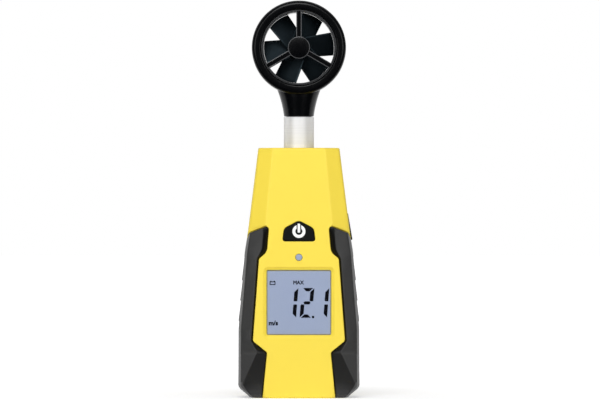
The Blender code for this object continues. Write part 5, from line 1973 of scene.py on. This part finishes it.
class METER_OT_fan(Operator):
    """Fan with its blades and hub"""

    bl_idname = "meter.fan"
    bl_label = "Fan"

    def execute(self, context):
        look = settings().meter_head
        half_length = fan_high.y
        bend = 0.0009
        bore = 0.0006
        bm = bmesh.new()
        profile = [(bore, -half_length)]
        profile += arc((FAN_HUB_RADIUS - bend, -half_length + bend), bend, -math.pi / 2, 0.0, 5)
        profile += arc((FAN_HUB_RADIUS - bend, half_length - bend), bend, 0.0, math.pi / 2, 5)
        profile += [(bore, half_length)]
        turned(bm, profile, ring_centre, REAR, 64)
        fan = as_object("fan", bm)
        carve(fan, [(self.blades(look), "UNION")])
        fit_out(fan, "fan", ["impeller"], finish("fan_black"))
        return {"FINISHED"}

    def blades(self, look):
        """Flat pitched blades whose tips follow the duct."""
        tip = DUCT_RADIUS - TIP_GAP
        bm = bmesh.new()
        bmesh.ops.create_grid(bm, x_segments=8, y_segments=14, size=0.5)
        lean = math.cos(look.pitch)
        for vert in bm.verts:
            span = vert.co.x + 0.5
            chord = BLADE_ROOT_CHORD + (BLADE_TIP_CHORD - BLADE_ROOT_CHORD) * span
            across = vert.co.y * chord
            end = math.sqrt(tip**2 - (across * lean) ** 2)
            vert.co = Vector((BLADE_ROOT_RADIUS + (end - BLADE_ROOT_RADIUS) * span, across, 0.0))
        bmesh.ops.translate(bm, vec=(0.0, 0.0, -BLADE_THICKNESS / 2), verts=bm.verts[:])
        grown = bmesh.ops.extrude_face_region(bm, geom=bm.faces[:])
        verts = [item for item in grown["geom"] if isinstance(item, bmesh.types.BMVert)]
        bmesh.ops.translate(bm, vec=(0.0, 0.0, BLADE_THICKNESS), verts=verts)
        bmesh.ops.recalc_face_normals(bm, faces=bm.faces[:])
        rim = [e for e in bm.edges if e.calc_face_angle(0.0) > math.radians(60.0)]
        bmesh.ops.bevel(
            bm,
            geom=rim,
            offset=BLADE_THICKNESS * 0.3,
            affect="EDGES",
            segments=2,
            profile=0.5,
            material=-1,
        )
        # Grid axes become radius, chord and blade normal
        chord_axis = Vector((0.0, -math.sin(look.pitch), math.cos(look.pitch)))
        radial = Vector((1.0, 0.0, 0.0))
        place = Matrix((radial, chord_axis, radial.cross(chord_axis))).transposed()
        bmesh.ops.rotate(bm, verts=bm.verts[:], cent=(0.0, 0.0, 0.0), matrix=place)
        first = Matrix.Rotation(-look.phase, 3, "Y")
        bmesh.ops.rotate(bm, verts=bm.verts[:], cent=(0.0, 0.0, 0.0), matrix=first)
        one = bm.verts[:] + bm.edges[:] + bm.faces[:]
        for k in range(1, look.blades):
            copy = bmesh.ops.duplicate(bm, geom=one)["geom"]
            verts = [item for item in copy if isinstance(item, bmesh.types.BMVert)]
            turn = Matrix.Rotation(-math.tau * k / look.blades, 3, "Y")
            bmesh.ops.rotate(bm, verts=verts, cent=(0.0, 0.0, 0.0), matrix=turn)
        bmesh.ops.translate(bm, vec=ring_centre, verts=bm.verts[:])
        return cutter(bm)


# Back of the case


class METER_OT_door(Operator):
    """Battery door with a ribbed thumb pad"""

    bl_idname = "meter.door"
    bl_label = "Battery door"

    def execute(self, context):
        inside = REAR_Y - DOOR_THICKNESS
        half = door_high.x
        corners = [(-half, door_low.z), (half, door_low.z), (half, plate_high), (-half, plate_high)]
        bm = bmesh.new()
        steps = [(inside, 0.0)]
        steps += [(REAR_Y - rise, inset) for inset, rise in reversed(edge_steps(0.0003))]
        sections = []
        for y, inset in steps:
            shrunk = [(x - math.copysign(inset, x), z) for x, z in corners]
            low = corners[0][1] + inset
            high = corners[2][1] - inset
            shrunk = [(x, low if z < 0.02 else high) for x, z in shrunk]
            sections.append([(p.x, y, p.y) for p in rounded(shrunk, 0.0010, 4)])
        skin(bm, sections)
        door = as_object("door", bm)
        carve(door, [(self.pad(), "DIFFERENCE"), (self.ribs(), "UNION"), (self.tabs(inside), "UNION")])
        soften(door, 0.00008)
        fit_out(door, "battery_door", ["battery_door"], finish("case_yellow"))
        return {"FINISHED"}

    pad_low = 0.0075
    pad_half = 0.0075
    pad_depth = 0.0006

    def pad(self):
        """Shallow rounded recess for the thumb."""
        high = self.pad_low + 0.0110
        corners = [(-self.pad_half, self.pad_low), (self.pad_half, self.pad_low)]
        corners += [(self.pad_half, high), (-self.pad_half, high)]
        bm = bmesh.new()
        sections = []
        for y, grow in ((REAR_Y - self.pad_depth, -0.0004), (REAR_Y + OVERLAP, 0.0)):
            spread = [(x + math.copysign(grow, x), z) for x, z in corners]
            sections.append([(p.x, y, p.y) for p in rounded(spread, 0.0025, 6)])
        skin(bm, sections)
        return cutter(bm)

    def ribs(self):
        """Half-round bars across the recess."""
        bm = bmesh.new()
        floor = REAR_Y - self.pad_depth - SPLIT
        for k in range(5):
            z = self.pad_low + 0.0019 + 0.0018 * k
            half = self.pad_half - 0.0014
            turns = [math.pi * i / 8 for i in range(9)]
            outline = [(0.0005 * math.cos(t), 0.0006 * math.sin(t)) for t in turns]
            skin(bm, [[(x, floor + y, z + h) for h, y in outline] for x in (-half, half)])
        return cutter(bm)

    def tabs(self, inside):
        """Hooks at the top edge."""
        hook_out = rear_inner - FIT_GAP - SPLIT
        hook_in = door_low.y
        bm = bmesh.new()
        outline = [
            (hook_in, bay_high + FIT_GAP),
            (inside + OVERLAP, bay_high + FIT_GAP),
            (inside + OVERLAP, plate_high - FIT_GAP),
            (hook_out, plate_high - FIT_GAP),
            (hook_out, door_high.z),
            (hook_in, door_high.z),
        ]
        for x in (-DOOR_TAB_OFFSET, DOOR_TAB_OFFSET):
            run = (x - DOOR_TAB_WIDTH / 2, x + DOOR_TAB_WIDTH / 2)
            skin(bm, [[(across, y, z) for y, z in outline] for across in run])
        return cutter(bm)


class METER_OT_fasteners(Operator):
    """Cross-head screws in the case and the neck"""

    bl_idname = "meter.fasteners"
    bl_label = "Screws"

    def execute(self, context):
        for node in CASE_SCREWS:
            self.screw(node, "housing", 0.0015, 0.0011)
        for node in ("head_screw_1", "head_screw_2"):
            self.screw(node, "vane_head", 0.0010, 0.0008)
        return {"FINISHED"}

    def screw(self, node, body, head, shank):
        middle, radius, low, high = spot_of(node)
        bend = head * 0.45
        bm = bmesh.new()
        profile = [(0.0, high.y)]
        profile += arc((radius - bend, high.y - bend), bend, math.pi / 2, 0.0, 5)
        profile += [(radius, high.y - head), (shank, high.y - head), (shank, low.y + shank / 2)]
        profile += [(shank / 2, low.y), (0.0, low.y)]
        turned(bm, profile, (middle.x, 0.0, middle.z), REAR, 40)
        made = as_object(node + "_cross", bm)
        arm = radius * 0.62
        slim = radius * 0.15
        taper = 0.55
        slots = []
        for wide, tall in ((arm, slim), (slim, arm)):
            bm = bmesh.new()
            sections = []
            for y, scale in ((high.y - head * 0.6, taper), (high.y + head * 0.2, 1.05)):
                a = wide * scale
                b = tall * scale
                flat = [(-a, -b), (a, -b), (a, b), (-a, b)]
                sections.append([(middle.x + x, y, middle.z + z) for x, z in flat])
            skin(bm, sections)
            slots.append((cutter(bm), "DIFFERENCE"))
        carve(made, slots)
        fit_out(made, body, [node], finish("screw_steel"))


class METER_OT_inside(Operator):
    """Battery jacket, and finishes for the pieces inside the case"""

    bl_idname = "meter.inside"
    bl_label = "Inside"

    def execute(self, context):
        self.battery()
        for entry in frame["record"]["subparts"]:
            mesh = NODES[entry["node"]].data
            mesh.materials.clear()
            mesh.materials.append(finish(entry["material_slot"]))
        return {"FINISHED"}

    def battery(self):
        """Nine-volt block with its two studs."""
        body_top = cell_high.z - 0.0020
        middle = (cell_low.y + cell_high.y) / 2
        bm = bmesh.new()
        corners = [(cell_low.x, cell_low.y), (cell_high.x, cell_low.y)]
        corners += [(cell_high.x, cell_high.y), (cell_low.x, cell_high.y)]
        run = [(cell_low.z + rise, inset) for inset, rise in edge_steps(0.0006)]
        run += [(body_top - rise, inset) for inset, rise in reversed(edge_steps(0.0006))]
        sections = []
        for z, inset in run:
            shrunk = []
            for x, y in corners:
                shrunk.append((x - math.copysign(inset, x), y - math.copysign(inset, y - middle)))
            sections.append([(p.x, p.y, z) for p in rounded(shrunk, 0.0022, 5)])
        skin(bm, sections)
        cell = as_object("battery_block", bm)
        bm = bmesh.new()
        for x, radius in ((-0.00635, 0.0028), (0.00635, 0.0038)):
            start = body_top - OVERLAP
            profile = [(0.0, start), (radius, start)]
            profile += arc((radius - 0.0004, cell_high.z - 0.0004), 0.0004, 0.0, math.pi / 2, 4)
            profile += [(0.0, cell_high.z)]
            turned(bm, profile, (x, middle, 0.0), UP, 32)
        carve(cell, [(cutter(bm), "UNION")])
        fit_out(cell, "housing", ["battery"], finish("cell_case"))


# Stage


# Level from left to right of the white surroundings with a grey card at either side
CARDS = ((0.0, 0.45), (0.10, 0.85), (0.25, 1.0), (0.75, 1.0), (0.88, 0.45), (0.95, 0.10), (1.0, 0.30))
SIDES = ((0.0, 0.25), (0.30, 1.0), (0.70, 1.0), (1.0, 0.25))


def background_rays(tree):
    """1 for rays that show the background: seen by the camera, in a gloss or through glass."""
    rays = tree.nodes.new("ShaderNodeLightPath")
    total = rays.outputs["Is Camera Ray"]
    for kind in ("Is Glossy Ray", "Is Transmission Ray"):
        pick = tree.nodes.new("ShaderNodeMath")
        pick.operation = "MAXIMUM"
        tree.links.new(total, pick.inputs[0])
        tree.links.new(rays.outputs[kind], pick.inputs[1])
        total = pick.outputs[0]
    return total


def outside_gloss(tree, level):
    """A level for reflections; 1 for every other ray."""
    rays = tree.nodes.new("ShaderNodeLightPath")
    rest = tree.nodes.new("ShaderNodeMath")
    rest.operation = "SUBTRACT"
    rest.inputs[0].default_value = 1.0
    tree.links.new(rays.outputs["Is Glossy Ray"], rest.inputs[1])
    pick = tree.nodes.new("ShaderNodeMath")
    pick.operation = "MAXIMUM"
    tree.links.new(rest.outputs[0], pick.inputs[0])
    tree.links.new(level, pick.inputs[1])
    return pick.outputs[0]


class METER_OT_stage(Operator):
    """Camera, pale floor, lamps and white surroundings"""

    bl_idname = "meter.stage"
    bl_label = "Stage"

    def execute(self, context):
        scene = context.scene
        look = scene.meter_stage
        scene.view_settings.view_transform = "Standard"
        self.camera(scene, look)
        self.floor(scene, look)
        self.lamp(scene, "main_lamp", look.key_power, 0.8, (-0.12, -1.32, 0.97))
        self.lamp(scene, "left_lamp", look.fill_power, 0.8, (-0.90, -1.50, 0.30))
        self.lamp(scene, "right_lamp", look.fill_power, 0.8, (0.90, -1.50, 0.30))
        self.surroundings(scene, look)
        return {"FINISHED"}

    def camera(self, scene, look):
        data = bpy.data.cameras.new("camera")
        data.sensor_width = 36.0
        data.lens = data.sensor_width * look.distance / look.frame_width
        camera = bpy.data.objects.new("camera", data)
        scene.collection.objects.link(camera)
        camera.location = (look.aim_side, FRONT_Y - look.distance, look.aim_height)
        camera.rotation_euler = (math.pi / 2, 0.0, 0.0)
        scene.camera = camera

    def floor(self, scene, look):
        bm = bmesh.new()
        bmesh.ops.create_grid(bm, x_segments=2, y_segments=2, size=6.0)
        floor = as_object("floor", bm)
        made = Finish("floor_paint")
        cloud = made.noise(3.0)
        made.set(
            Base_Color=made.ramp(
                cloud, ((0.3, shade(look.floor, 0.995)), (0.7, shade(look.floor, 1.005)))
            ),
            Roughness=0.9,
            Specular_IOR_Level=0.0,
        )
        reach = made.node("ShaderNodeVectorMath")
        reach.operation = "LENGTH"
        made.feed(reach.inputs[0], made.place)
        far = made.node("ShaderNodeMapRange", Value=reach.outputs["Value"])
        for name, value in zip(("From Min", "From Max", "To Min"), (0.06, 0.40, 0.46)):
            far.inputs[name].default_value = value
        glow = made.node("ShaderNodeEmission", Color=(1.0, 1.0, 1.0, 1.0))
        made.feed(glow.inputs["Strength"], far.outputs["Result"])
        off = made.node("ShaderNodeEmission", Strength=0.0)
        lit = made.node("ShaderNodeMixShader", Fac=background_rays(made.tree))
        made.tree.links.new(off.outputs[0], lit.inputs[1])
        made.tree.links.new(glow.outputs[0], lit.inputs[2])
        both = made.node("ShaderNodeAddShader")
        made.tree.links.new(made.shader.outputs[0], both.inputs[0])
        made.tree.links.new(lit.outputs[0], both.inputs[1])
        axes = made.node("ShaderNodeSeparateXYZ", Vector=made.place)
        rear = made.node("ShaderNodeMapRange", Value=axes.outputs["Y"])
        rear.inputs["From Min"].default_value = -0.05
        rear.inputs["From Max"].default_value = -0.02
        seen = made.node("ShaderNodeMixShader", Fac=outside_gloss(made.tree, rear.outputs["Result"]))
        made.tree.links.new(off.outputs[0], seen.inputs[1])
        made.tree.links.new(both.outputs[0], seen.inputs[2])
        made.tree.links.new(seen.outputs[0], made.tree.nodes["Material Output"].inputs["Surface"])
        floor.data.materials.append(made.material)

    def lamp(self, scene, name, power, size, spot):
        data = bpy.data.lights.new(name, "AREA")
        data.energy = power
        data.size = size
        lamp = bpy.data.objects.new(name, data)
        scene.collection.objects.link(lamp)
        lamp.location = spot
        aim = Vector((0.0, 0.0, look_height())) - Vector(spot)
        lamp.rotation_euler = aim.to_track_quat("-Z", "Y").to_euler()

    def surroundings(self, scene, look):
        """White behind the meter, also in its reflections, and an even room around it."""
        world = bpy.data.worlds.new("surroundings")
        scene.world = world
        world.use_nodes = True
        tree = world.node_tree
        tree.nodes.clear()
        link = tree.links.new

        def add(kind, **values):
            made = tree.nodes.new(kind)
            for name, value in values.items():
                made.inputs[name].default_value = value
            return made

        place = add("ShaderNodeTexCoord")
        axes = add("ShaderNodeSeparateXYZ")
        link(place.outputs["Generated"], axes.inputs[0])
        across = add("ShaderNodeMapRange")
        across.inputs["From Min"].default_value = -1.0
        link(axes.outputs["X"], across.inputs["Value"])
        levels_seen = []
        for stops, scale in ((CARDS, 1.0), (SIDES, look.ambient)):
            ramp = add("ShaderNodeValToRGB")
            points = ramp.color_ramp.elements
            while len(points) < len(stops):
                points.new(1.0)
            for point, (position, level) in zip(points, stops):
                point.position = position
                point.color = (level, level, level, 1.0)
            link(across.outputs[0], ramp.inputs[0])
            glow = add("ShaderNodeBackground", Strength=scale)
            link(ramp.outputs["Color"], glow.inputs["Color"])
            levels_seen.append(glow)
        white, room = levels_seen
        behind = add("ShaderNodeMapRange")
        for name, value in zip(("From Min", "From Max", "To Min"), (-0.30, 0.10, 0.02)):
            behind.inputs[name].default_value = value
        link(axes.outputs["Y"], behind.inputs["Value"])
        link(outside_gloss(tree, behind.outputs[0]), white.inputs["Strength"])
        mix = add("ShaderNodeMixShader")
        link(background_rays(tree), mix.inputs["Fac"])
        link(room.outputs[0], mix.inputs[1])
        link(white.outputs[0], mix.inputs[2])
        link(mix.outputs[0], add("ShaderNodeOutputWorld").inputs["Surface"])


def look_height():
    return BODY_TOP * 0.8


# Panel and start

OPERATORS = (
    METER_OT_case,
    METER_OT_grips,
    METER_OT_keys,
    METER_OT_display,
    METER_OT_stem,
    METER_OT_head,
    METER_OT_spokes,
    METER_OT_fan,
    METER_OT_door,
    METER_OT_fasteners,
    METER_OT_inside,
    METER_OT_stage,
)
SETTINGS = {
    "meter_case": CaseSettings,
    "meter_display": DisplaySettings,
    "meter_head": HeadSettings,
    "meter_stage": StageSettings,
}


class METER_PT_panel(Panel):
    """Settings and steps of the meter"""

    bl_idname = "METER_PT_panel"
    bl_label = "Vane anemometer"
    bl_space_type = "VIEW_3D"
    bl_region_type = "UI"
    bl_category = "Meter"

    def draw(self, context):
        for name, kind in SETTINGS.items():
            group = getattr(context.scene, name)
            column = self.layout.column()
            for key in kind.__annotations__:
                column.prop(group, key)
        for operator in OPERATORS:
            self.layout.operator(operator.bl_idname)


CLASSES = (*SETTINGS.values(), *OPERATORS, METER_PT_panel)


def register():
    for kind in CLASSES:
        bpy.utils.register_class(kind)
    for name, kind in SETTINGS.items():
        setattr(bpy.types.Scene, name, PointerProperty(type=kind))


def unregister():
    for name in SETTINGS:
        delattr(bpy.types.Scene, name)
    for kind in reversed(CLASSES):
        bpy.utils.unregister_class(kind)


def main():
    register()
    bpy.ops.meter.case()
    bpy.ops.meter.grips()
    bpy.ops.meter.keys()
    bpy.ops.meter.display()
    bpy.ops.meter.stem()
    bpy.ops.meter.head()
    bpy.ops.meter.spokes()
    bpy.ops.meter.fan()
    bpy.ops.meter.door()
    bpy.ops.meter.fasteners()
    bpy.ops.meter.inside()
    bpy.ops.meter.stage()


if __name__ == "__main__":
    main()
